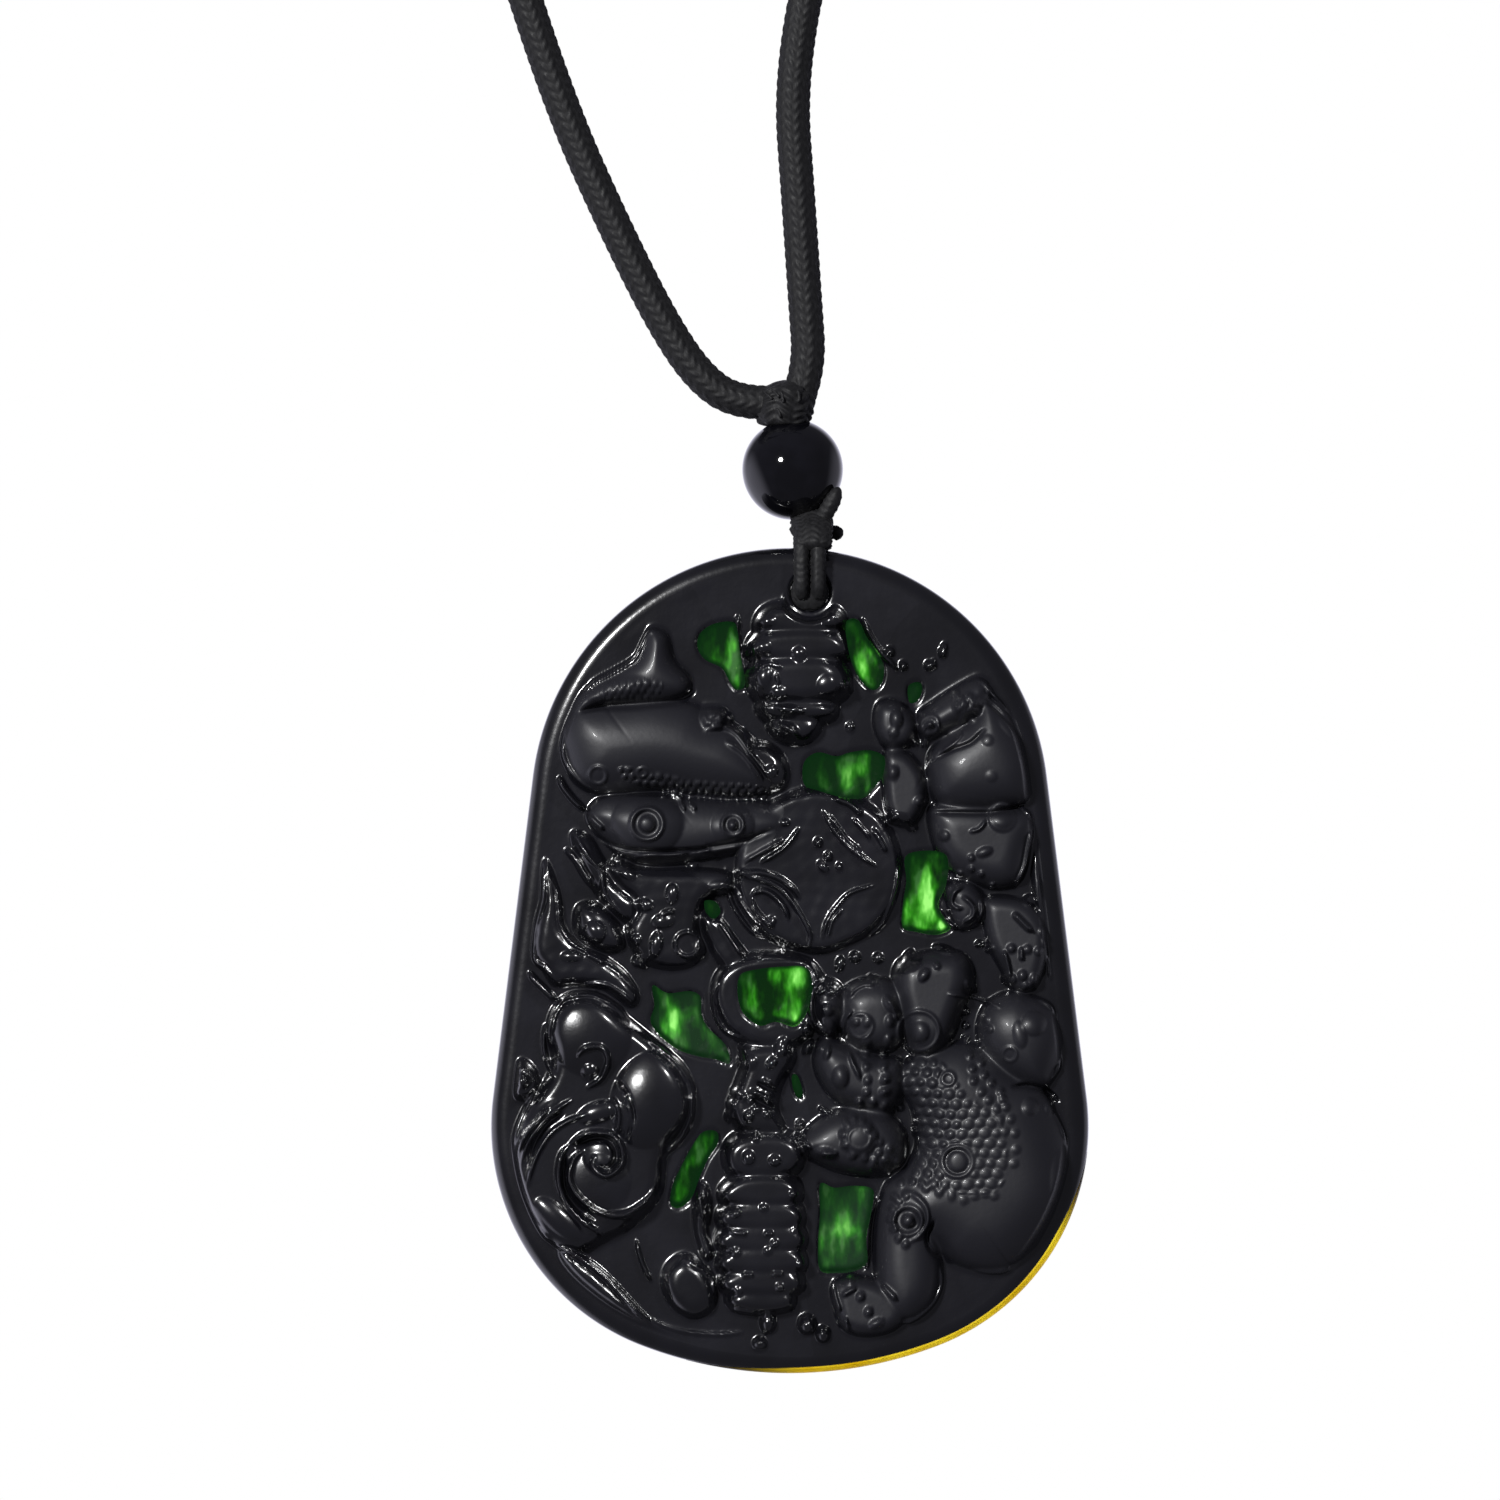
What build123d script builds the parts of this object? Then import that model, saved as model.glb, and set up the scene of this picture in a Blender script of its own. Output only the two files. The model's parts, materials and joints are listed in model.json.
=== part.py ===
from build123d import *
import os
from math import acos, asin, atan2, cos, degrees, dist, hypot, pi, radians, sin, sqrt, tan
from typing import NamedTuple

# Carved jade plaque hung from a braided neck cord, in millimetres.
# The origin is where the top of the cord loop rests on the neck. X runs to the right of the carved
# face, the carving looks towards -Y and Z is up.

# Plaque outline and thickness
PLAQUE_HEIGHT = 58.0
PLAQUE_WIDTH = 42.0
TOP_RADIUS = 18.2
CORNER_RADIUS = 16.5
BASE_RADIUS = 29.0
PLATE_THICKNESS = 4.6
FRONT_EDGE_RADIUS = 1.2
BACK_EDGE_RADIUS = 0.9

# Carving
RELIEF_HEIGHT = 3.0
RELIEF_ROOT_DEPTH = 0.8
THIN_FLOOR_THICKNESS = 1.2
WINDOW_CORNER_RADIUS = 0.7
COIN_HEIGHT = 0.5
PETAL_HEIGHT = 1.1
RING_WIRE_RADIUS = 0.63
SPIRAL_WIRE_RADIUS = 0.45

# Hanging hole, and its place in the plaque
HOLE_RADIUS = 1.35
HOLE_MOUTH_DEPTH = 0.3
HOLE_ACROSS = 1.4
HOLE_DROP = 3.1

# Bead and the thin cord that carries the plaque
BEAD_DIAMETER = 7.1
BEAD_LEAN = 15.0
BEAD_CLEARANCE = 0.1
THREAD_RADIUS = 0.9
THREAD_CLEARANCE = 0.12
STRAND_DIAMETER = 1.0
STRAND_SPACING = 1.1
STRAND_CLEARANCE = 0.35
STRAND_LIFT = 0.3
STRAND_SHOULDER_IN = 0.9
STRAND_SHOULDER_UP = 1.3
STRAND_SHOULDER_DOWN = 0.6
SWING_ROOM = 0.55
COLLAR_RADIUS = 1.55
COLLAR_BELOW_BEAD = 1.1
COLLAR_HEIGHT = 2.8
COLLAR_TURNS = 4

# Binding that joins both ends of the neck cord above the bead
BINDING_RADIUS = 2.1
BINDING_HEIGHT = 2.7
BINDING_TURNS = 4

# Braided neck cord
NECK_CORD_DIAMETER = 2.5

# Points of the neck cord, across and up from the middle of the cord at the top of the loop.
# Each list starts in the binding above the bead and ends at the back of the neck.
NECK_CORD_LEFT = [
    (-1.5, -275.0),
    (-3.8, -275.0),
    (-6.4, -273.2),
    (-9.0, -269.3),
    (-12.3, -262.7),
    (-15.9, -254.7),
    (-19.7, -243.3),
    (-27.0, -219.3),
    (-38.5, -177.3),
    (-50.0, -130.3),
    (-58.5, -84.0),
    (-60.0, -43.9),
    (-43.9, -16.1),
    (-16.1, 0.0),
    (0.0, 0.0),
]
NECK_CORD_RIGHT = [
    (0.6, -274.7),
    (1.4, -272.5),
    (1.1, -268.1),
    (0.6, -260.7),
    (0.0, -252.3),
    (2.0, -241.8),
    (8.0, -222.3),
    (21.0, -185.3),
    (37.0, -138.3),
    (52.0, -96.0),
    (60.0, -43.9),
    (43.9, -16.1),
    (16.1, 0.0),
    (0.0, 0.0),
]
# Middle of the binding on the same measure, and the bead's place under it
BINDING_ACROSS = -0.3
BINDING_DROP = 275.25
BEAD_ACROSS = 0.2
BEAD_BELOW_BINDING = 4.45


class Limb(NamedTuple):
    """A rounded form between two ends of the carving.

    Across is a share of the plaque's width from its middle line, down a share of its height from the
    top, a radius a share of its width, and a rise a share of the carving's rise.
    """

    across: float
    down: float
    radius: float
    rise: float
    end_across: float
    end_down: float
    end_radius: float
    end_rise: float


class Knob(NamedTuple):
    """A round knob, eye or pearl, in the same shares as a limb."""

    across: float
    down: float
    radius: float
    rise: float


class StackCoin(NamedTuple):
    """One coin of a stack seen from its edge, in the same shares as a limb."""

    across: float
    down: float
    radius: float
    rise: float


class Window(NamedTuple):
    """A recess with a thin floor, in the same shares as a limb, with its turn in degrees."""

    across: float
    down: float
    wide: float
    tall: float
    turn: float


UPPER_LEFT_TOAD = [
    Limb(-0.272, 0.218, 0.080, 0.85, -0.095, 0.270, 0.045, 0.60),
    Limb(-0.322, 0.205, 0.058, 0.62, -0.230, 0.115, 0.027, 0.40),
    Limb(-0.235, 0.330, 0.058, 0.90, -0.090, 0.335, 0.045, 0.70),
    Limb(-0.280, 0.380, 0.030, 0.50, -0.140, 0.393, 0.024, 0.45),
    Limb(-0.340, 0.290, 0.030, 0.45, -0.305, 0.365, 0.022, 0.40),
    Limb(-0.150, 0.205, 0.030, 0.45, -0.125, 0.160, 0.018, 0.30),
]
UPPER_RIGHT_TOAD = [
    Limb(0.325, 0.240, 0.082, 0.85, 0.342, 0.305, 0.062, 0.65),
    Limb(0.262, 0.190, 0.050, 0.60, 0.325, 0.183, 0.045, 0.55),
    Limb(0.285, 0.342, 0.060, 0.75, 0.362, 0.336, 0.045, 0.65),
    Limb(0.405, 0.380, 0.027, 0.45, 0.372, 0.468, 0.020, 0.40),
    Limb(0.190, 0.238, 0.042, 0.50, 0.250, 0.294, 0.037, 0.50),
]
LOWER_RIGHT_TOAD = [
    Limb(0.352, 0.742, 0.104, 1.00, 0.327, 0.808, 0.097, 0.95),
    Limb(0.235, 0.658, 0.084, 0.90, 0.185, 0.597, 0.057, 0.75),
    Limb(0.403, 0.592, 0.057, 0.75, 0.355, 0.615, 0.050, 0.70),
    Limb(0.117, 0.722, 0.060, 0.75, 0.195, 0.706, 0.057, 0.80),
    Limb(0.195, 0.810, 0.052, 0.80, 0.252, 0.828, 0.050, 0.80),
    Limb(0.215, 0.852, 0.034, 0.60, 0.235, 0.918, 0.023, 0.40),
    Limb(0.295, 0.852, 0.044, 0.60, 0.408, 0.808, 0.050, 0.70),
    Limb(0.152, 0.912, 0.037, 0.50, 0.095, 0.898, 0.024, 0.40),
    Limb(0.126, 0.598, 0.044, 0.60, 0.078, 0.562, 0.040, 0.60),
    Limb(0.060, 0.612, 0.027, 0.50, 0.102, 0.652, 0.027, 0.50),
    Limb(0.150, 0.518, 0.037, 0.50, 0.232, 0.535, 0.034, 0.50),
    Limb(0.320, 0.500, 0.020, 0.40, 0.365, 0.530, 0.020, 0.45),
    Limb(0.385, 0.482, 0.018, 0.35, 0.422, 0.520, 0.018, 0.40),
    Limb(0.270, 0.545, 0.022, 0.45, 0.322, 0.566, 0.022, 0.50),
]
CLOUDS_AND_SCROLLS = [
    Limb(-0.332, 0.602, 0.066, 0.80, -0.318, 0.625, 0.055, 0.75),
    Limb(-0.227, 0.646, 0.066, 0.85, -0.227, 0.696, 0.066, 0.85),
    Limb(-0.340, 0.700, 0.030, 0.50, -0.450, 0.770, 0.017, 0.35),
    Limb(-0.330, 0.808, 0.042, 0.50, -0.440, 0.785, 0.023, 0.40),
    Limb(-0.432, 0.805, 0.022, 0.35, -0.262, 0.918, 0.018, 0.30),
    Limb(-0.225, 0.845, 0.020, 0.35, -0.205, 0.900, 0.016, 0.30),
    Limb(-0.392, 0.482, 0.037, 0.50, -0.420, 0.402, 0.013, 0.30),
    Limb(-0.352, 0.520, 0.027, 0.45, -0.285, 0.530, 0.021, 0.40),
    Limb(-0.386, 0.306, 0.013, 0.25, -0.305, 0.378, 0.013, 0.30),
    Limb(-0.360, 0.392, 0.016, 0.30, -0.295, 0.464, 0.016, 0.35),
    Limb(-0.285, 0.428, 0.024, 0.45, -0.215, 0.452, 0.021, 0.40),
    Limb(-0.176, 0.868, 0.040, 0.45, -0.117, 0.895, 0.024, 0.35),
    Limb(-0.080, 0.940, 0.018, 0.25, 0.095, 0.943, 0.018, 0.25),
]
KNOBS = [
    Knob(-0.238, 0.332, 0.030, 1.02),
    Knob(-0.094, 0.334, 0.022, 0.82),
    Knob(0.350, 0.328, 0.022, 0.78),
    Knob(0.278, 0.739, 0.028, 1.05),
    Knob(0.199, 0.811, 0.032, 0.95),
    Knob(0.114, 0.710, 0.024, 0.88),
    Knob(0.405, 0.571, 0.018, 0.88),
    Knob(-0.446, 0.650, 0.024, 0.45),
    Knob(-0.166, 0.477, 0.027, 0.50),
    Knob(-0.226, 0.104, 0.024, 0.42),
    Knob(-0.042, 0.943, 0.016, 0.40),
    Knob(0.026, 0.940, 0.019, 0.42),
    Knob(0.290, 0.434, 0.034, 0.50),
]
COIN_STACKS = [
    StackCoin(0.017, 0.096, 0.046, 0.35),
    StackCoin(0.017, 0.113, 0.056, 0.45),
    StackCoin(0.017, 0.130, 0.066, 0.55),
    StackCoin(0.017, 0.157, 0.075, 0.70),
    StackCoin(0.017, 0.184, 0.073, 0.75),
    StackCoin(0.017, 0.211, 0.058, 0.60),
    StackCoin(-0.045, 0.702, 0.038, 0.45),
    StackCoin(-0.043, 0.730, 0.048, 0.55),
    StackCoin(-0.041, 0.758, 0.060, 0.65),
    StackCoin(-0.040, 0.786, 0.068, 0.75),
    StackCoin(-0.040, 0.814, 0.074, 0.80),
    StackCoin(-0.040, 0.842, 0.074, 0.80),
    StackCoin(-0.040, 0.870, 0.072, 0.75),
    StackCoin(-0.040, 0.898, 0.062, 0.60),
]
STACK_COIN_SHARE = 0.023

# The patterned coin and the pierced coin, in shares of the plaque's width and height
COIN_ACROSS = 0.047
COIN_DOWN = 0.390
COIN_SHARE = 0.136
PETAL_SHARE = 0.96
RING_ACROSS = -0.038
RING_DOWN = 0.549
RING_SHARE = 0.077
SPIRAL_ACROSS = -0.304
SPIRAL_DOWN = 0.740
SPIRAL_SHARE = 0.074
SPIRAL_RISE_SHARE = 0.55
SPIRAL_HALF_TURNS = 3
SPIRAL_SHRINK = 0.70

WINDOWS = [
    Window(-0.114, 0.128, 0.062, 0.070, -8.0),
    Window(0.124, 0.128, 0.056, 0.078, 28.0),
    Window(0.088, 0.269, 0.120, 0.040, 0.0),
    Window(0.228, 0.424, 0.076, 0.092, 0.0),
    Window(-0.034, 0.546, 0.098, 0.068, 0.0),
    Window(-0.178, 0.572, 0.110, 0.096, -12.0),
    Window(-0.153, 0.742, 0.056, 0.080, -24.0),
    Window(0.088, 0.824, 0.098, 0.108, 0.0),
]

# Places that follow from the sizes above
neck_cord_radius = NECK_CORD_DIAMETER / 2
bead_radius = BEAD_DIAMETER / 2
strand_radius = STRAND_DIAMETER / 2
binding_z = neck_cord_radius - BINDING_DROP
bead_z = binding_z - BEAD_BELOW_BINDING
bead_bottom_z = bead_z - bead_radius
collar_bottom_z = bead_bottom_z - COLLAR_BELOW_BEAD
plaque_top_z = collar_bottom_z - STRAND_CLEARANCE - SWING_ROOM
hole_x = HOLE_ACROSS
hole_z = plaque_top_z - HOLE_DROP
half_plate = PLATE_THICKNESS / 2

face_plane = Plane(origin=(0, -half_plate, plaque_top_z), x_dir=(1, 0, 0), z_dir=(0, -1, 0))
loop_plane = Plane(origin=(0, 0, neck_cord_radius), x_dir=(1, 0, 0), z_dir=(0, -1, 0))
bead_axis = (-sin(radians(BEAD_LEAN)), 0, cos(radians(BEAD_LEAN)))
bead_plane = Plane(origin=(BEAD_ACROSS, 0, bead_z), x_dir=(0, 1, 0), z_dir=bead_axis)


def place(across, down, height=0.0):
    """Turn shares of the plaque into a point over its face."""
    return (across * PLAQUE_WIDTH, -down * PLAQUE_HEIGHT, height)


def corner_radii(points):
    """Give each corner of a route the largest arc that its two runs allow."""
    radii = []
    for before, corner, after in zip(points, points[1:], points[2:]):
        turn = radians((Vector(corner) - Vector(before)).get_angle(Vector(after) - Vector(corner)))
        run = min(dist(before, corner), dist(corner, after))
        radii.append(0.45 * run / tan(turn / 2))
    return radii


def limb_solid(start, start_radius, end, end_radius):
    """Make a rounded limb between two points, with a round end at each."""
    length = dist(start, end)
    slope = asin((start_radius - end_radius) / length)
    with BuildPart(mode=Mode.PRIVATE) as limb:
        with BuildSketch(Plane.XY):
            with BuildLine():
                first = (start_radius * sin(slope), start_radius * cos(slope))
                last = (length + end_radius * sin(slope), end_radius * cos(slope))
                start_middle = (pi - (pi / 2 - slope)) / 2 + (pi / 2 - slope)
                end_middle = (pi / 2 - slope) / 2
                ThreePointArc(
                    (-start_radius, 0),
                    (start_radius * cos(start_middle), start_radius * sin(start_middle)),
                    first,
                )
                Line(first, last)
                ThreePointArc(
                    last,
                    (length + end_radius * cos(end_middle), end_radius * sin(end_middle)),
                    (length + end_radius, 0),
                )
                Line((length + end_radius, 0), (-start_radius, 0))
            make_face()
        revolve(axis=Axis.X)
    along = Vector(end) - Vector(start)
    side = along.cross(Vector(0, 0, 1))
    return Plane(origin=start, x_dir=along, z_dir=side.cross(along)) * limb.part


def raised_limb(row):
    """Make one row of a limb table over the plaque's face."""
    start_radius = row.radius * PLAQUE_WIDTH
    end_radius = row.end_radius * PLAQUE_WIDTH
    start = place(row.across, row.down, row.rise * RELIEF_HEIGHT - start_radius)
    end = place(row.end_across, row.end_down, row.end_rise * RELIEF_HEIGHT - end_radius)
    return limb_solid(start, start_radius, end, end_radius)


def raised_knob(knob):
    """Make one row of the knob table over the plaque's face."""
    radius = knob.radius * PLAQUE_WIDTH
    with BuildPart(mode=Mode.PRIVATE) as ball:
        with Locations(place(knob.across, knob.down, knob.rise * RELIEF_HEIGHT - radius)):
            Sphere(radius)
    return ball.part


def stacked_coin(coin):
    """Make one coin of a stack, standing on its edge in the plaque's face."""
    radius = coin.radius * PLAQUE_WIDTH
    middle = place(coin.across, coin.down, coin.rise * RELIEF_HEIGHT - radius)
    with BuildPart(mode=Mode.PRIVATE) as disc:
        with BuildSketch(Plane(origin=middle, x_dir=(1, 0, 0), z_dir=(0, 1, 0))):
            Circle(radius)
        extrude(amount=STACK_COIN_SHARE * PLAQUE_HEIGHT / 2, both=True)
    return disc.part


def plaque_outline():
    """Draw the plaque's outline: a round top, flat leaning sides, wide lower corners and a curved base."""
    corner_x = PLAQUE_WIDTH / 2 - CORNER_RADIUS
    base_centre = -PLAQUE_HEIGHT + BASE_RADIUS
    corner_y = base_centre - sqrt((BASE_RADIUS - CORNER_RADIUS) ** 2 - corner_x**2)
    top_centre = -TOP_RADIUS
    drop = corner_y - top_centre
    reach = hypot(corner_x, drop)
    side = atan2(drop, corner_x) + acos((TOP_RADIUS - CORNER_RADIUS) / reach)
    below = atan2(base_centre - corner_y, corner_x)
    normal = (cos(side), sin(side))
    shoulder = (TOP_RADIUS * normal[0], top_centre + TOP_RADIUS * normal[1])
    hip = (corner_x + CORNER_RADIUS * normal[0], corner_y + CORNER_RADIUS * normal[1])
    with BuildSketch() as drawn:
        with BuildLine():
            CenterArc((0, top_centre), TOP_RADIUS, degrees(side), 180 - 2 * degrees(side))
            Line(shoulder, hip)
            CenterArc((corner_x, corner_y), CORNER_RADIUS, -degrees(below), degrees(below + side))
            CenterArc((0, base_centre), BASE_RADIUS, 180 + degrees(below), 180 - 2 * degrees(below))
            CenterArc((-corner_x, corner_y), CORNER_RADIUS, 180 - degrees(side), degrees(below + side))
            Line((-hip[0], hip[1]), (-shoulder[0], shoulder[1]))
        make_face()
    return drawn.sketch


def wound_column(radius, height, turns):
    """Add a column of cord turns, lying on each other, to the part that is open."""
    wire_radius = height / turns / 2
    middle_radius = radius - wire_radius
    Cylinder(middle_radius + wire_radius / 2, height - wire_radius)
    first_turn = wire_radius - height / 2
    for turn in range(turns):
        with Locations((0, 0, first_turn + 2 * wire_radius * turn)):
            Torus(middle_radius, wire_radius)


# Carving: everything that stands up from the face, cut off flat a little below it
limbs = UPPER_LEFT_TOAD + UPPER_RIGHT_TOAD + LOWER_RIGHT_TOAD + CLOUDS_AND_SCROLLS
raised_forms = [raised_limb(row) for row in limbs]
raised_forms += [raised_knob(row) for row in KNOBS]
raised_forms += [stacked_coin(row) for row in COIN_STACKS]
with BuildPart() as carving:
    add(raised_forms)

    # Patterned coin: a flat disc with four leaf-shaped petals between its rim and a hollow-sided square
    coin_middle = place(COIN_ACROSS, COIN_DOWN)
    coin_radius = COIN_SHARE * PLAQUE_WIDTH
    with BuildSketch(Plane(origin=coin_middle)):
        Circle(coin_radius)
    extrude(amount=COIN_HEIGHT)
    with BuildSketch(Plane(origin=coin_middle)):
        with GridLocations(2 * coin_radius, 2 * coin_radius, 2, 2):
            Circle(coin_radius * PETAL_SHARE)
        Circle(coin_radius * PETAL_SHARE, mode=Mode.INTERSECT)
    extrude(amount=PETAL_HEIGHT)

    # Rim of the pierced coin
    with Locations(place(RING_ACROSS, RING_DOWN)):
        Torus(RING_SHARE * PLAQUE_WIDTH - RING_WIRE_RADIUS, RING_WIRE_RADIUS)

    # Cloud spiral: a low drum with a cord-like line wound inwards on it
    spiral_height = SPIRAL_RISE_SHARE * RELIEF_HEIGHT
    spiral_middle = place(SPIRAL_ACROSS, SPIRAL_DOWN, spiral_height)
    spiral_radius = SPIRAL_SHARE * PLAQUE_WIDTH
    with BuildSketch(Plane(origin=spiral_middle)):
        Circle(spiral_radius)
    extrude(amount=-spiral_height)
    with BuildLine(Plane(origin=spiral_middle).offset(-SPIRAL_WIRE_RADIUS / 4)) as spiral:
        arc_radius = spiral_radius - SPIRAL_WIRE_RADIUS
        start_x = -arc_radius
        for half_turn in range(SPIRAL_HALF_TURNS):
            heading = 1 if half_turn % 2 == 0 else -1
            start_angle = 180 if heading == 1 else 0
            CenterArc((start_x + heading * arc_radius, 0), arc_radius, start_angle, 180)
            start_x += 2 * heading * arc_radius
            arc_radius *= SPIRAL_SHRINK
    with BuildSketch(Plane(origin=spiral.line @ 0, z_dir=spiral.line % 0)):
        Circle(SPIRAL_WIRE_RADIUS)
    sweep(path=spiral.line)

    split(bisect_by=Plane.XY.offset(-RELIEF_ROOT_DEPTH), keep=Keep.TOP)

# Plaque: a rounded jade plate with its carving, thin-floored windows and the hanging hole with wide mouths
outline = plaque_outline()
with BuildPart() as plaque:
    with BuildSketch(Plane.XY.offset(-PLATE_THICKNESS)):
        add(outline)
    extrude(amount=PLATE_THICKNESS)
    fillet(plaque.edges().group_by(Axis.Z)[-1], FRONT_EDGE_RADIUS)
    fillet(plaque.edges().group_by(Axis.Z)[0], BACK_EDGE_RADIUS)
    add(carving.part)
    with BuildSketch(Plane.XY.offset(THIN_FLOOR_THICKNESS - PLATE_THICKNESS)):
        for window in WINDOWS:
            wide = window.wide * PLAQUE_WIDTH
            tall = window.tall * PLAQUE_HEIGHT
            with Locations(place(window.across, window.down)):
                RectangleRounded(wide, tall, WINDOW_CORNER_RADIUS, rotation=window.turn)
    extrude(amount=PLATE_THICKNESS + RELIEF_HEIGHT, mode=Mode.SUBTRACT)
    with BuildSketch(Plane(origin=(HOLE_ACROSS, -HOLE_DROP, 0), x_dir=(1, 0, 0), z_dir=(0, -1, 0))):
        with BuildLine():
            wall_top = PLATE_THICKNESS - HOLE_MOUTH_DEPTH
            mouth_radius = HOLE_RADIUS + HOLE_MOUTH_DEPTH
            Polyline(
                (0, RELIEF_HEIGHT),
                (mouth_radius, RELIEF_HEIGHT),
                (mouth_radius, 0),
                (HOLE_RADIUS, -HOLE_MOUTH_DEPTH),
                (HOLE_RADIUS, -wall_top),
                (mouth_radius, -PLATE_THICKNESS),
                (0, -PLATE_THICKNESS),
                close=True,
            )
        make_face()
    revolve(axis=Axis((HOLE_ACROSS, -HOLE_DROP, 0), (0, 0, 1)), mode=Mode.SUBTRACT)
plaque_part = face_plane * plaque.part
plaque_part.label = "plaque"

# Bead, drilled along its leaning axis
with BuildPart(bead_plane) as bead:
    Sphere(bead_radius)
    Hole(THREAD_RADIUS + THREAD_CLEARANCE)
bead.part.label = "bead"

# Neck cord: both halves of one loop, from the binding to the back of the neck
neck_cords = {}
for side_name, route in (("left", NECK_CORD_LEFT), ("right", NECK_CORD_RIGHT)):
    radii = corner_radii(route)
    with BuildPart() as neck_cord:
        with BuildLine(loop_plane) as centre_line:
            FilletPolyline(*route, radius=radii)
        with BuildSketch(Plane(origin=centre_line.line @ 0, z_dir=centre_line.line % 0)):
            Circle(neck_cord_radius)
        sweep(path=centre_line.line)
    neck_cord.part.label = f"neck_cord_{side_name}"
    neck_cords[side_name] = neck_cord.part
    length = sum(edge.length for edge in centre_line.edges())
    print(side_name, "length", round(length, 1), "radii", [round(radius, 1) for radius in radii])
    print(side_name, "volume", neck_cord.part.volume, "of", pi * neck_cord_radius**2 * length)

# Binding: thin cord wound round both ends of the neck cord, hollowed to sit on the bead
with BuildPart() as binding:
    with Locations((BINDING_ACROSS, 0, binding_z)):
        wound_column(BINDING_RADIUS, BINDING_HEIGHT, BINDING_TURNS)
    add(list(neck_cords.values()), mode=Mode.SUBTRACT)
    with Locations((BEAD_ACROSS, 0, bead_z)):
        Sphere(bead_radius + BEAD_CLEARANCE, mode=Mode.SUBTRACT)
binding.part.label = "binding"

# Hanging cord: a thread through the bead, a wound collar under it, and two strands that pass over the
# plaque's rim on both faces and through its hole
strand_out = half_plate + STRAND_CLEARANCE + strand_radius
shoulder_z = plaque_top_z + STRAND_SHOULDER_UP
strand_half = [
    (strand_out - 2 * STRAND_SHOULDER_IN - strand_radius, shoulder_z + strand_radius / 2),
    (strand_out - STRAND_SHOULDER_IN, shoulder_z),
    (strand_out, plaque_top_z - STRAND_SHOULDER_DOWN),
    (strand_out, hole_z + STRAND_LIFT),
]
strand_route = [(-out, up) for out, up in strand_half] + strand_half[::-1]
with BuildPart() as hanging_cord:
    with Locations((hole_x, 0, collar_bottom_z + COLLAR_HEIGHT / 2)):
        wound_column(COLLAR_RADIUS, COLLAR_HEIGHT, COLLAR_TURNS)
    with Locations((BEAD_ACROSS, 0, bead_z)):
        Sphere(bead_radius + BEAD_CLEARANCE, mode=Mode.SUBTRACT)
    for side in (-1, 1):
        strand_plane = Plane(origin=(hole_x + side * STRAND_SPACING / 2, 0, 0), x_dir=(0, 1, 0), z_dir=(1, 0, 0))
        with BuildLine(strand_plane) as strand_line:
            FilletPolyline(*strand_route, radius=corner_radii(strand_route))
        with BuildSketch(Plane(origin=strand_line.line @ 0, z_dir=strand_line.line % 0)):
            Circle(strand_radius)
        sweep(path=strand_line.line)
    thread_top = sqrt((bead_radius + BEAD_CLEARANCE) ** 2 - THREAD_RADIUS**2)
    thread_bottom = -bead_radius - BEAD_CLEARANCE - THREAD_RADIUS / 2
    with BuildSketch(bead_plane.offset(thread_bottom)):
        Circle(THREAD_RADIUS)
    extrude(amount=thread_top - thread_bottom)
hanging_cord.part.label = "hanging_cord"

os.makedirs("parts", exist_ok=True)
for piece in (plaque_part, bead.part, binding.part, hanging_cord.part, *neck_cords.values()):
    export_step(piece, f"parts/{piece.label}.step")
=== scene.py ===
"""Looks of a carved jade pendant: dark relief with thin glowing windows, a black bead and a braided cord.

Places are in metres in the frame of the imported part: X to the right of the carved face, Y away from the
viewer and Z up. Sizes of the pieces are written in millimetres and turned into metres by MM.
"""

from __future__ import annotations

import json
import logging
import math
from dataclasses import dataclass, field
from enum import Enum
from typing import NamedTuple

import bmesh
import bpy
import numpy as np
from mathutils import Matrix, Vector

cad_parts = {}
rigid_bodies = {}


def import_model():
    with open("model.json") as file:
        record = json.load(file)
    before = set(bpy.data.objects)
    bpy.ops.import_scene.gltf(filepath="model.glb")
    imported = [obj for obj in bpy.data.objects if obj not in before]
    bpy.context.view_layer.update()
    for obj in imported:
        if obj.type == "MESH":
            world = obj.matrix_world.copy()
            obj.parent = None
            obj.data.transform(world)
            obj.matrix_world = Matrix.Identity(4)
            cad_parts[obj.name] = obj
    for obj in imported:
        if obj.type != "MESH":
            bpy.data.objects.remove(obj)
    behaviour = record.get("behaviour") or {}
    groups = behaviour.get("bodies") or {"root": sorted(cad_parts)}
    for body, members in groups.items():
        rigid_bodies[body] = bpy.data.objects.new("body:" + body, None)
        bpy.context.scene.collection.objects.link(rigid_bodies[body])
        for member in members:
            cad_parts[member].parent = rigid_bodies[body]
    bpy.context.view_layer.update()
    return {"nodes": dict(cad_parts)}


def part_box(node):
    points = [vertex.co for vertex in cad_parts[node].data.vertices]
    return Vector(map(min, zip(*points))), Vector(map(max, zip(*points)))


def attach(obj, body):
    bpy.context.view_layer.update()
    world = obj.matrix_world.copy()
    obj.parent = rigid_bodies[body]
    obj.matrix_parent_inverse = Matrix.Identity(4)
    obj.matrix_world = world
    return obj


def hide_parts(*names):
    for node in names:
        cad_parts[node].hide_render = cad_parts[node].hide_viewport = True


MM = 0.001
LOG = logging.getLogger("jade_pendant")

Pair = tuple[float, float]
Colour = tuple[float, float, float]
Point = tuple[float, float, float]
Route = tuple[Point, ...]
Outline = tuple[int, ...]
Corners = list[bmesh.types.BMVert]
Part = bmesh.types.BMVert | bmesh.types.BMEdge | bmesh.types.BMFace
Array = np.ndarray
Shape = bmesh.types.BMesh
Mesh = bpy.types.Mesh
Material = bpy.types.Material
Socket = bpy.types.NodeSocket
Source = Socket | float | tuple[float, ...]


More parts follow.
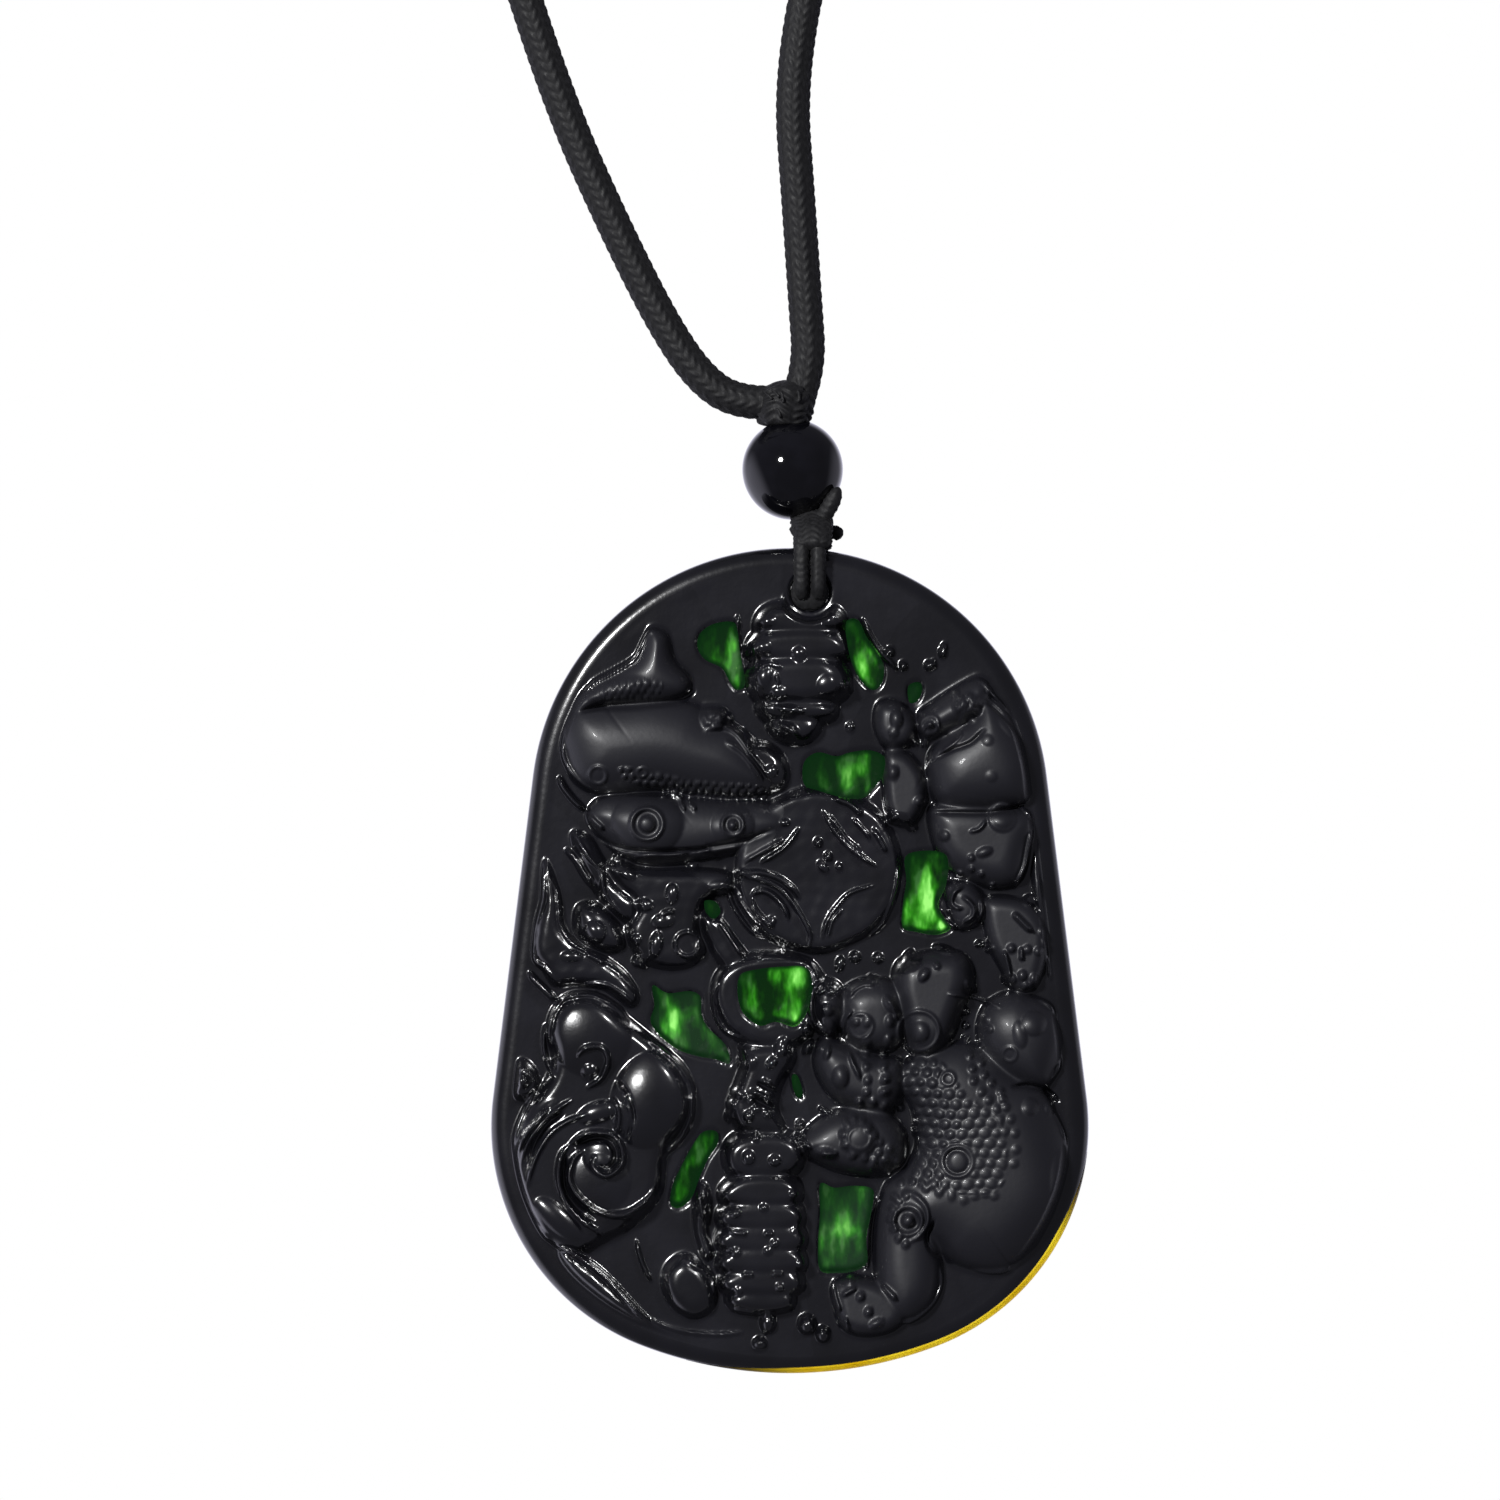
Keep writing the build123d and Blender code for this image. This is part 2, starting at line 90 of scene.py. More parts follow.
class Body(Enum):
    """The two moving bodies of the necklace."""

    CORD = "cord"
    PENDANT = "pendant"


class Slot(Enum):
    """The record's material slots."""

    JADE = "jade"
    BEAD = "bead_stone"
    CORD = "cord"


@dataclass(frozen=True)
class Noise:
    """A noise on Object coordinates; scale is in waves per metre, and a small stretch draws it out."""

    scale: float
    detail: float = 3.0
    stretch: Point = (1.0, 1.0, 1.0)


@dataclass
class Graph:
    """A node tree, with short ways to add its nodes and join them."""

    tree: bpy.types.ShaderNodeTree
    noise_span: Pair = (0.3, 0.7)

    def feed(self, socket: Socket, value: Source) -> None:
        """Link an input to another node's output, or set it to a constant."""
        if isinstance(value, Socket):
            self.tree.links.new(value, socket)
        else:
            socket.default_value = (*value, 1.0) if socket.type == "RGBA" else value

    def add(self, kind: str, inputs: dict[str | int, Source], **settings: str) -> bpy.types.ShaderNode:
        """Add a node with its own settings, and feed the inputs that don't keep their defaults."""
        node = self.tree.nodes.new(kind)
        for name, setting in settings.items():
            setattr(node, name, setting)
        for name, value in inputs.items():
            self.feed(node.inputs[name], value)
        return node

    def noise(self, noise: Noise) -> Socket:
        """Add a noise and give its value."""
        place = self.add("ShaderNodeTexCoord", {}).outputs["Object"]
        drawn = self.add("ShaderNodeMapping", {"Scale": noise.stretch, "Vector": place}).outputs["Vector"]
        inputs = {"Scale": noise.scale, "Detail": noise.detail, "Vector": drawn}
        return self.add("ShaderNodeTexNoise", inputs).outputs["Fac"]

    def attribute(self, name: str) -> Socket:
        """Read an attribute of the mesh."""
        return self.add("ShaderNodeAttribute", {}, attribute_name=name).outputs["Fac"]

    def ramp(self, source: Source, stops: tuple[tuple[float, Colour], ...]) -> Socket:
        """Turn a value from 0 to 1 into a colour, by the place and colour of each stop of a ramp."""
        ramp = self.add("ShaderNodeValToRGB", {"Fac": source})
        elements = ramp.color_ramp.elements
        while len(elements) < len(stops):
            elements.new(0.5)
        for element, (place, colour) in zip(elements, stops):
            element.position = place
            element.color = (*colour, 1.0)
        return ramp.outputs["Color"]

    def span(self, source: Source, reach: Pair, result: Pair, ease: str = "SMOOTHSTEP") -> Socket:
        """Map the reach of a value to another one, with nothing past its ends."""
        inputs = {"Value": source, "From Min": reach[0], "From Max": reach[1]}
        inputs |= {"To Min": result[0], "To Max": result[1]}
        return self.add("ShaderNodeMapRange", inputs, interpolation_type=ease).outputs["Result"]

    def spread(self, source: Source, low: float, high: float) -> Socket:
        """Map the span that a noise mostly keeps to, from low to high."""
        return self.span(source, self.noise_span, (low, high), "LINEAR")

    def mix(self, factor: Source, first: Source, second: Source, **settings: str) -> Socket:
        """Mix two colours by a factor."""
        inputs = {"Factor": factor, "A": first, "B": second}
        return self.add("ShaderNodeMix", inputs, data_type="RGBA", **settings).outputs["Result"]

    def multiply_add(self, source: Source, factor: float, more: Source) -> Socket:
        """Multiply a value by a factor and add another value."""
        inputs = {0: source, 1: factor, 2: more}
        return self.add("ShaderNodeMath", inputs, operation="MULTIPLY_ADD").outputs["Value"]


@dataclass(frozen=True)
class Finish:
    """A surface whose colour and roughness follow one noise, and its bump another."""

    name: str
    cloud: Noise
    tones: tuple[tuple[float, Colour], ...]
    roughness: Pair
    constants: dict[str, float]
    grain: Noise | None = None
    grain_depth: float = 0.0

    def sources(self, graph: Graph, cloud: Socket) -> dict[str, Socket]:
        """Work out what feeds the shader's inputs, from the value of the finish's noise."""
        colour = graph.ramp(cloud, self.tones)
        return {"Base Color": colour, "Roughness": graph.spread(cloud, *self.roughness)}

    def make(self) -> Material:
        """Build the node material."""
        material = bpy.data.materials.new(self.name)
        material.use_nodes = True
        graph = Graph(material.node_tree)
        shader = material.node_tree.nodes["Principled BSDF"]
        for name, source in self.sources(graph, graph.noise(self.cloud)).items():
            graph.feed(shader.inputs[name], source)
        if self.grain:
            height = graph.noise(self.grain)
            bump = graph.add("ShaderNodeBump", {"Distance": self.grain_depth, "Height": height})
            graph.feed(shader.inputs["Normal"], bump.outputs["Normal"])
        for name, value in self.constants.items():
            shader.inputs[name].default_value = value
        return material


@dataclass(frozen=True)
class StoneFinish(Finish):
    """Almost black jade: glossy where it is polished, with a satin skin where the attribute says so, whose
    lighter colour is partly its frosted tone and partly painted sheen.
    """

    # Lighter base colour of the satin skin: partly its frosted tone, partly painted sheen
    satin_tone_and_sheen: Colour = (0.013, 0.013, 0.018)
    uneven: float = 0.12
    coat: Pair = (0.85, 0.08)

    def sources(self, graph: Graph, cloud: Socket) -> dict[str, Socket]:
        """Work out what feeds the shader, as in the plain finish."""
        skin = graph.attribute("satin")
        return {
            "Base Color": graph.mix(skin, graph.ramp(cloud, self.tones), self.satin_tone_and_sheen),
            "Roughness": graph.multiply_add(cloud, self.uneven, graph.spread(skin, *self.roughness)),
            "Coat Weight": graph.spread(skin, *self.coat),
        }


@dataclass(frozen=True)
class EmeraldFinish(Finish):
    """Jade so thin that light comes through it emerald green, with painted shade darkening it at the wall,
    and a pale milky tone where told that partly stands in for painted reflection.
    """

    # Colour of the painted shade where the window's floor meets the wall
    shaded_border: Colour = (0.003, 0.020, 0.004)
    # Pale tone added where told: partly a milky stone, partly a painted reflection
    haze: Colour = (0.05, 0.088, 0.052)
    glow_gain: float = 0.30
    streak_span: Pair = (-0.42, 0.83)

    def sources(self, graph: Graph, cloud: Socket) -> dict[str, Socket]:
        """Work out what feeds the shader, as in the plain finish."""
        glow = graph.attribute("glow")
        light = graph.multiply_add(glow, self.glow_gain, graph.spread(cloud, *self.streak_span))
        edged = graph.mix(glow, self.shaded_border, graph.ramp(light, self.tones))
        hazy = graph.mix(graph.attribute("haze"), edged, self.haze, blend_type="ADD")
        return {"Base Color": hazy, "Roughness": graph.spread(cloud, *self.roughness)}


@dataclass(frozen=True)
class RimGlowFinish(Finish):
    """Painted yellow glow at the rim's lower right, standing in for light refracted through the rounded
    rim; the piece lets light through and fades into the dark stone.
    """

    stone: Colour = (0.0040, 0.0040, 0.0055)

    def sources(self, graph: Graph, cloud: Socket) -> dict[str, Socket]:
        """Work out what feeds the shader, as in the plain finish."""
        # The warm attribute fades the painted yellow glow into the dark stone
        rim_glow = graph.mix(graph.attribute("warm"), self.stone, graph.ramp(cloud, self.tones))
        return {"Base Color": rim_glow, "Roughness": graph.spread(cloud, *self.roughness)}


STONE = StoneFinish(
    "dark_jade",
    Noise(260.0, 4.0),
    tones=((0.35, (0.0040, 0.0040, 0.0055)), (0.72, (0.0070, 0.0070, 0.0105))),
    roughness=(0.18, 0.42),
    constants={"IOR": 1.6, "Coat Roughness": 0.07},
    grain=Noise(2600.0, 4.0),
    grain_depth=0.010 * MM,
)
EMERALD = EmeraldFinish(
    "emerald_jade",
    Noise(520.0, stretch=(1.5, 1.0, 0.6)),
    tones=(
        (0.30, (0.004, 0.020, 0.004)),
        (0.50, (0.010, 0.090, 0.004)),
        (0.66, (0.030, 0.250, 0.010)),
        (0.78, (0.12, 0.52, 0.05)),
        (0.90, (0.34, 0.92, 0.16)),
    ),
    roughness=(0.25, 0.5),
    constants={"IOR": 1.15, "Transmission Weight": 1.0},
    grain=Noise(1500.0),
    grain_depth=0.05 * MM,
)
# Painted glow: a yellow colour that stands in for light refracted through the rim's lower right
RIM_GLOW = RimGlowFinish(
    "amber_jade",
    Noise(300.0),
    tones=((0.35, (0.70, 0.42, 0.0)), (0.65, (1.0, 0.80, 0.03))),
    roughness=(0.3, 0.5),
    constants={"IOR": 1.2, "Transmission Weight": 1.0},
)
BLACK_STONE = Finish(
    "black_stone",
    Noise(500.0),
    tones=((0.4, (0.003, 0.003, 0.0045)), (0.7, (0.006, 0.006, 0.009))),
    roughness=(0.04, 0.09),
    constants={"IOR": 1.6},
)
YARN = Finish(
    "black_cord",
    Noise(5200.0, stretch=(1.0, 1.0, 0.5)),
    tones=((0.4, (0.0045, 0.0045, 0.0055)), (0.65, (0.009, 0.009, 0.011))),
    roughness=(0.55, 0.78),
    constants={"Sheen Weight": 0.03, "Sheen Roughness": 0.5},
    grain=Noise(5200.0, stretch=(1.0, 1.0, 0.5)),
    grain_depth=0.02 * MM,
)


def set_coordinates(mesh: Mesh, points: Array) -> None:
    """Write the places of a mesh's vertices, given in millimetres."""
    mesh.vertices.foreach_set("co", (points * MM).astype(np.float32).ravel())
    mesh.update()


def get_coordinates(mesh: Mesh) -> Array:
    """Read the places of a mesh's vertices as rows of three, as they are stored."""
    points = np.zeros(len(mesh.vertices) * 3, np.float32)
    mesh.vertices.foreach_get("co", points)
    return points.reshape(-1, 3).astype(float)


def to_mesh(shape: Shape, name: str) -> Mesh:
    """Turn a shape that is done into a mesh."""
    mesh = bpy.data.meshes.new(name)
    shape.to_mesh(mesh)
    shape.free()
    return mesh


def to_solid(shape: Shape, name: str) -> Mesh:
    """Turn a closed shape that is done into a mesh with its faces turned outward."""
    bmesh.ops.recalc_face_normals(shape, faces=shape.faces)
    return to_mesh(shape, name)


def move_back(made: list[Part], y: float) -> None:
    """Move the corners among new parts of a shape to one place from front to back, in millimetres."""
    for part in made:
        if isinstance(part, bmesh.types.BMVert):
            part.co.y = y * MM


def grid_mesh(name: str, columns: int, rows: int) -> Mesh:
    """Make a flat grid from -1 to 1, to be bent into shape."""
    shape = bmesh.new()
    bmesh.ops.create_grid(shape, x_segments=columns, y_segments=rows, size=1.0)
    return to_mesh(shape, name)


def gather(meshes: list[Mesh]) -> Mesh:
    """Put closed meshes, which are used up, together in one mesh."""
    shape = bmesh.new()
    for mesh in meshes:
        shape.from_mesh(mesh)
        bpy.data.meshes.remove(mesh)
    return to_mesh(shape, "gathered")


def add_piece(
    name: str, mesh: Mesh, material: Material, body: Body, replaces: tuple[str, ...] = ()
) -> None:
    """Show a finished mesh as a smooth piece that rides on a body.

    Args:
        name: Name of the piece.
        mesh: Its mesh, in place.
        material: Its finish.
        body: The body it moves with.
        replaces: CAD nodes that it stands for.
    """
    mesh.name = name
    mesh.materials.clear()
    mesh.materials.append(material)
    mesh.polygons.foreach_set("use_smooth", [True] * len(mesh.polygons))
    piece = bpy.data.objects.new(name, mesh)
    bpy.context.scene.collection.objects.link(piece)
    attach(piece, body.value)
    if replaces:
        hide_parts(*replaces)
    LOG.info("%s: %d triangles", name, sum(len(polygon.vertices) - 2 for polygon in mesh.polygons))


def smooth_step(value: Array, low: float, high: float) -> Array:
    """Rise smoothly from 0 at low to 1 at high."""
    share = np.clip((value - low) / (high - low), 0.0, 1.0)
    return share * share * (3.0 - 2.0 * share)


def hollow(share: Array) -> Array:
    """Fall from 1 at a share of 0 to 0 at a share of 1 and over, along a parabola."""
    return np.clip(1.0 - share**2, 0.0, 1.0)


def waver(value: Array, length: float, sway: float, across: Array, spacing: float) -> Array:
    """Make a wave along a value that sways across it; length and spacing are for one radian of each."""
    return np.sin(value / length + sway * np.sin(across / spacing))


class Glow(NamedTuple):
    """A soft bright patch of the surroundings; start and end are cosines of angles from its middle."""

    direction: Point
    start: float
    end: float
    brightness: float


@dataclass(frozen=True)
class Stage:
    """Camera, white surroundings, pale floor and studio lights."""

    frame_width: float = 105.6 * MM
    aim: Point = (-2.8 * MM, 0.0, -298.2 * MM)
    camera_distance: float = 0.62
    sensor_width: float = 36.0
    sight: Pair = (0.01, 50.0)
    floor_z: float = -1.15
    floor_radius: float = 5.0
    floor_corners: int = 96
    floor_glow: float = 0.65
    light_tint: Colour = (0.85, 0.84, 1.0)
    back_light: float = 1.35
    front_light: float = 0.102
    back_span: Pair = (0.62, 1.0)
    glows: tuple[Glow, ...] = (
        Glow((-0.86, 0.38, -0.34), 0.70, 0.99, 0.85),
        Glow((0.84, 0.52, -0.10), 0.80, 0.99, 0.35),
    )
    lamp_width: float = 0.15
    key_power: float = 9.0
    key_place: Point = (-0.45, -0.82, 0.36)
    line_power: float = 5.5
    line_place: Point = (0.60, -0.72, 0.64)
    polished: tuple[str, ...] = ("carved_coin", "carved_flame", "carved_cloud")

    def camera(self) -> None:
        """Set the long-lens camera in front of the carved face, at its height."""
        data = bpy.data.cameras.new("camera")
        data.sensor_width = self.sensor_width
        data.lens = self.sensor_width * self.camera_distance / self.frame_width
        data.clip_start, data.clip_end = self.sight
        camera = bpy.data.objects.new("camera", data)
        camera.location = Vector(self.aim) - Vector((0.0, self.camera_distance, 0.0))
        camera.rotation_euler = (math.radians(90), 0, 0)
        bpy.context.scene.collection.objects.link(camera)
        bpy.context.scene.camera = camera

    def surroundings(self) -> None:
        """Make the white background, with more light from behind the pendant than from in front."""
        scene = bpy.context.scene
        scene.view_settings.view_transform = "Standard"
        world = bpy.data.worlds.new("white_surroundings")
        scene.world = world
        world.use_nodes = True
        world.node_tree.nodes.clear()
        graph = Graph(world.node_tree)
        heading = graph.add("ShaderNodeTexCoord", {}).outputs["Generated"]
        depth = graph.add("ShaderNodeSeparateXYZ", {"Vector": heading}).outputs["Y"]
        strength = graph.span(depth, self.back_span, (self.front_light, self.back_light))
        for glow in self.glows:
            sides = {0: heading, 1: glow.direction}
            toward = graph.add("ShaderNodeVectorMath", sides, operation="DOT_PRODUCT").outputs["Value"]
            patch = graph.span(toward, (glow.start, glow.end), (0.0, glow.brightness))
            strength = graph.multiply_add(patch, 1.0, strength)
        path = graph.add("ShaderNodeLightPath", {}).outputs
        through = {"Factor": path["Is Transmission Ray"], "A": strength, "B": self.back_light}
        strength = graph.add("ShaderNodeMix", through).outputs["Result"]
        lit = graph.add("ShaderNodeBackground", {"Color": self.light_tint, "Strength": strength})
        seen = graph.add("ShaderNodeBackground", {"Color": (1.0, 1.0, 1.0)})
        shaders = {0: path["Is Camera Ray"], 1: lit.outputs["Background"], 2: seen.outputs["Background"]}
        shown = graph.add("ShaderNodeMixShader", shaders).outputs["Shader"]
        graph.add("ShaderNodeOutputWorld", {"Surface": shown})

    def floor(self) -> None:
        """Lay the pale floor, far below the pendant and lit by itself, which only the camera sees."""
        shape = bmesh.new()
        bmesh.ops.create_circle(shape, cap_ends=True, segments=self.floor_corners, radius=self.floor_radius)
        bmesh.ops.translate(shape, verts=shape.verts, vec=(0, 0, self.floor_z))
        mesh = to_mesh(shape, "pale_floor")
        material = bpy.data.materials.new("pale_floor")
        material.use_nodes = True
        shader = material.node_tree.nodes["Principled BSDF"]
        shader.inputs["Base Color"].default_value = (0.82, 0.82, 0.83, 1.0)
        shader.inputs["Roughness"].default_value = 0.8
        shader.inputs["Emission Color"].default_value = (1.0, 1.0, 1.0, 1.0)
        shader.inputs["Emission Strength"].default_value = self.floor_glow
        mesh.materials.append(material)
        floor = bpy.data.objects.new("pale_floor", mesh)
        bpy.context.scene.collection.objects.link(floor)
        floor.visible_glossy = False
        floor.visible_diffuse = False
        floor.visible_transmission = False

    def lamp(self, name: str, place: Point, power: float) -> bpy.types.Object:
        """Hang a small round light at a place measured from the camera's aim, and point it at that aim."""
        data = bpy.data.lights.new(name, "AREA")
        data.shape = "DISK"
        data.size = self.lamp_width
        data.energy = power
        lamp = bpy.data.objects.new(name, data)
        lamp.location = Vector(self.aim) + Vector(place)
        lamp.rotation_euler = (Vector(self.aim) - lamp.location).to_track_quat("-Z", "Y").to_euler()
        bpy.context.scene.collection.objects.link(lamp)
        return lamp

    def lights(self) -> None:
        """Hang the key light, and one only for the polished motifs, whose lines the key light misses."""
        self.lamp("key_light", self.key_place, self.key_power)
        carving = bpy.data.collections.new("carving")
        for piece in bpy.context.scene.objects:
            if piece.name.startswith(self.polished):
                carving.objects.link(piece)
        lamp = self.lamp("line_light", self.line_place, self.line_power)
        lamp.light_linking.receiver_collection = carving


def read_line(name: str, route: Route) -> Array:
    """Read close points, in millimetres, of the smooth spline that has a route as its control points."""
    curve = bpy.data.curves.new(name, "CURVE")
    curve.dimensions = "3D"
    spline = curve.splines.new("NURBS")
    spline.points.add(len(route) - 1)
    for point, (x, y, z) in zip(spline.points, route):
        point.co = (x * MM, y * MM, z * MM, 1.0)
    spline.order_u = 3
    spline.use_endpoint_u = True
    spline.resolution_u = 64
    holder = bpy.data.objects.new(name, curve)
    bpy.context.scene.collection.objects.link(holder)
    mesh = bpy.data.meshes.new_from_object(holder)
    line = get_coordinates(mesh) / MM
    bpy.data.objects.remove(holder)
    bpy.data.curves.remove(curve)
    bpy.data.meshes.remove(mesh)
    return line


@dataclass
class Braid:
    """A round cord on a smooth line, with the slanted floats of its yarn standing out of it."""

    name: str
    route: Route
    radius: float
    columns: int = 12
    pitch: float = 0.75
    depth: float = 0.1
    slant: float = 1.1
    valley: float = 0.15
    around: int = 60
    fine_step: float = 0.11
    coarse_step: float = 0.29
    fine_length: float = 44.0
    round_start: float = 0.0
    round_end: float = 0.0
    blunt: float = 0.02
    belly: float = 0.0
    flatness: float = 1.0

    def stations(self) -> tuple[Array, Array, Array]:
        """Space stations along the line, closer where the cord is seen from near.

        Returns:
            The points, the direction at each and how far along it lies.
        """
        line = read_line(self.name, self.route)
        runs = np.linalg.norm(np.diff(line, axis=0), axis=1)
        line = line[np.concatenate(([True], runs > 1e-6))]
        along = np.concatenate(([0.0], np.cumsum(np.linalg.norm(np.diff(line, axis=0), axis=1))))
        length = along[-1]
        near_part = min(self.fine_length, length)
        places = np.linspace(0.0, near_part, max(8, int(near_part / self.fine_step)))
        if length > near_part + 1.0:
            rest = np.linspace(near_part, length, int((length - near_part) / self.coarse_step))
            places = np.concatenate((places, rest[1:]))
        points = np.stack([np.interp(places, along, line[:, axis]) for axis in range(3)], axis=1)
        heading = np.gradient(points, places, axis=0)
        heading /= np.linalg.norm(heading, axis=1)[:, None]
        return points, heading, places

    def sides(self, heading: Array) -> Array:
        """Carry a sideways direction along the line's headings without twist."""
        start = np.array([0.0, 1.0, 0.0]) if abs(heading[0][1]) < 0.8 else np.array([1.0, 0.0, 0.0])
        carried = []
        for direction in heading:
            start = start - direction * (start @ direction)
            start = start / np.linalg.norm(start)
            carried.append(start)
        return np.array(carried)

    def float_height(self, angle: Array, far: Array) -> Array:
        """Work out how far the floats lie below the cord's radius, at angles round and places along it."""
        column = angle / (2 * math.pi) * self.columns
        index = np.floor(column + 1e-6)
        aside = column - index - 0.5
        slant = np.where(np.mod(index, 2) == 0, 1.0, -1.0) * aside
        lift = np.sin(math.pi * (far / self.pitch + self.slant * slant)) ** 2
        return self.depth * (lift * (self.valley + (1.0 - self.valley) * hollow(2.0 * aside)) - 1.0)

    def make(self) -> Mesh:
        """Make the cord's closed mesh."""
        points, heading, places = self.stations()
        side = self.sides(heading)
        across = np.cross(heading, side)
        rows = len(points) - 1
        mesh = grid_mesh(self.name, self.around, rows)
        flat = get_coordinates(mesh)
        angle = (flat[:, 0] + 1.0) * math.pi
        row = np.clip(np.rint((flat[:, 1] + 1.0) / 2.0 * rows).astype(int), 0, rows)
        rise = self.float_height(angle, places[row])
        full = self.radius + self.belly * np.sin(math.pi * places / places[-1])
        for ease, far in ((self.round_start, places), (self.round_end, places[-1] - places)):
            if ease > 0.0:
                share = np.clip(far / ease, 0.0, 1.0)
                full = full * np.sqrt(np.maximum(1.0 - (1.0 - share) ** 2, self.blunt))
        radius = full[row] + rise * np.minimum(1.0, full[row] / self.radius)
        offset = np.cos(angle)[:, None] * across[row] + self.flatness * np.sin(angle)[:, None] * side[row]
        set_coordinates(mesh, points[row] + radius[:, None] * offset)
        self.close(mesh)
        return mesh

    def close(self, mesh: Mesh) -> None:
        """Join the tube's seam and close both ends, in place."""
        shape = bmesh.new()
        shape.from_mesh(mesh)
        edge = [vertex for vertex in shape.verts if vertex.is_boundary]
        bmesh.ops.remove_doubles(shape, verts=edge, dist=0.001 * MM)
        ends = [line for line in shape.edges if line.is_boundary]
        bmesh.ops.holes_fill(shape, edges=ends, sides=0)
        bmesh.ops.recalc_face_normals(shape, faces=shape.faces)
        shape.to_mesh(mesh)
        shape.free()


@dataclass
class NeckCord:
    """One half of the braided neck cord, on a smooth line through the same points as its solid."""

    side: str
    route: tuple[Pair, ...]
    finish: Material
    diameter: float = 2.5

    def build(self) -> None:
        """Make the braided cord."""
        name = f"braided_neck_cord_{self.side}"
        route = tuple((across, 0.0, up + self.diameter / 2) for across, up in self.route)
        mesh = Braid(name, route, self.diameter / 2).make()
        add_piece(name, mesh, self.finish, Body.CORD, (f"neck_cord_{self.side}",))


@dataclass
class Windings:
    """The cord work round the bead: the joint over it, the sleeve under it and the plaque's strands."""

    finish: Material
    joint_radius: float = 1.85
    thread_radius: float = 0.13
    sleeve_radius: float = 1.42
    neck_radius: float = 1.15
    inner_radius: float = 0.5
    end_radius: float = 0.66
    knot_radius: float = 0.55
    fold_radius: float = 1.34
    fold_end_radius: float = 1.33
    strand_radius: float = 0.58
    strand_apart: float = 1.18
    strand_out: float = 3.12
    hole_x: float = 1.4
    hole_z: float = -287.1

    def thin(self, name: str, route: Route, radius: float, **changes: float) -> Braid:
        """Describe a stretch of the thin braided cord, with the sizes that differ from its usual ones."""
        usual = {"columns": 6, "pitch": 0.46, "depth": 0.09, "around": 24}
        return Braid(name, route, radius, **(usual | changes))

    def wound(self, name: str, route: Route, radius: float, **changes: float) -> Braid:
        """Describe thin cord wound close together, with the sizes that differ from its usual ones."""
        usual = {"pitch": 0.44, "depth": 0.13, "fine_step": 0.06, "round_start": 0.3}
        return Braid(name, route, radius, **(usual | changes))

    def add(self, name: str, parts: list[Braid], replaces: tuple[str, ...] = ()) -> None:
        """Make cords and show them as one piece."""
        mesh = gather([part.make() for part in parts])
        add_piece(name, mesh, self.finish, Body.CORD, replaces)

    def joint(self) -> None:
        """Make the joint of the two neck cords, a tapered sleeve with thread ends standing out of it."""
        route = ((-0.45, 0.0, -275.5), (-0.45, 0.0, -274.6), (-0.2, 0.0, -273.4), (-0.25, 0.0, -272.15))
        braid = {"columns": 10, "pitch": 0.6, "depth": 0.2, "around": 80, "round_end": 1.1, "belly": 0.32}
        core = self.wound("joint_core", route, self.joint_radius, **braid)
        ends = (
            ((-1.9, -1.2, -273.0), (-1.6, -1.75, -273.2), (-1.2, -1.9, -273.6)),
            ((-1.3, -1.6, -272.9), (-0.9, -2.0, -273.1), (-0.75, -2.05, -273.5)),
            ((-0.7, -1.9, -273.0), (-0.4, -2.15, -273.4), (-0.5, -2.15, -273.9)),
            ((-1.0, -1.85, -274.2), (-0.6, -2.1, -274.5), (-0.7, -1.95, -274.9)),
            ((0.5, -1.75, -272.9), (0.75, -1.95, -273.3), (0.6, -2.0, -273.8)),
        )
        thread = {"columns": 2, "pitch": 0.4, "depth": 0.03, "around": 10, "fine_step": 0.06}
        rounded = {"round_start": 0.15, "round_end": 0.15}
        threads = [Braid("joint_thread", route, self.thread_radius, **thread, **rounded) for route in ends]
        self.add("braided_cord_joint", [core, *threads], ("binding",))

    def strand_route(self, x: float) -> Route:
        """Lead a strand from the sleeve over the front, through the hole and up behind."""
        high = self.hole_z - 0.1
        front = (
            (self.hole_x + 0.4 * (x - self.hole_x), -0.3, -282.0),
            (x, -1.3, -282.8),
            (x, -2.6, -283.2),
            (x, -self.strand_out, -284.4),
            (x, -self.strand_out, -285.6),
            (x, -self.strand_out + 0.1, high),
            (x, -1.7, high),
        )
        return front + tuple((across, -out, up) for across, out, up in front[::-1])

    def fold(self, start: float, end: float, radius: float, **changes: float) -> Braid:
        """Describe a short fold of cord that lies in the hole between two places from front to back."""
        route = tuple((self.hole_x, y, self.hole_z) for y in (start, (start + end) / 2, end))
        usual = {"columns": 12, "depth": 0.0, "around": 60}
        return self.thin(f"fold_{start}", route, radius, **(usual | changes))

    def strands(self) -> None:
        """Make the two strands, and the short folds of cord that fill the rest of the hole."""
        parts = []
        for hand in (-0.5, 0.5):
            route = self.strand_route(self.hole_x + hand * self.strand_apart)
            parts.append(self.thin(f"strand_{hand}", route, self.strand_radius))
        parts.append(self.fold(2.2, -2.2, self.fold_radius))
        for side in (-1.0, 1.0):
            end = {"depth": 0.12, "round_end": 0.5}
            parts.append(self.fold(side * 2.15, side * 2.75, self.fold_end_radius, **end))
        self.add("hanging_cord_strands", parts, ("hanging_cord",))

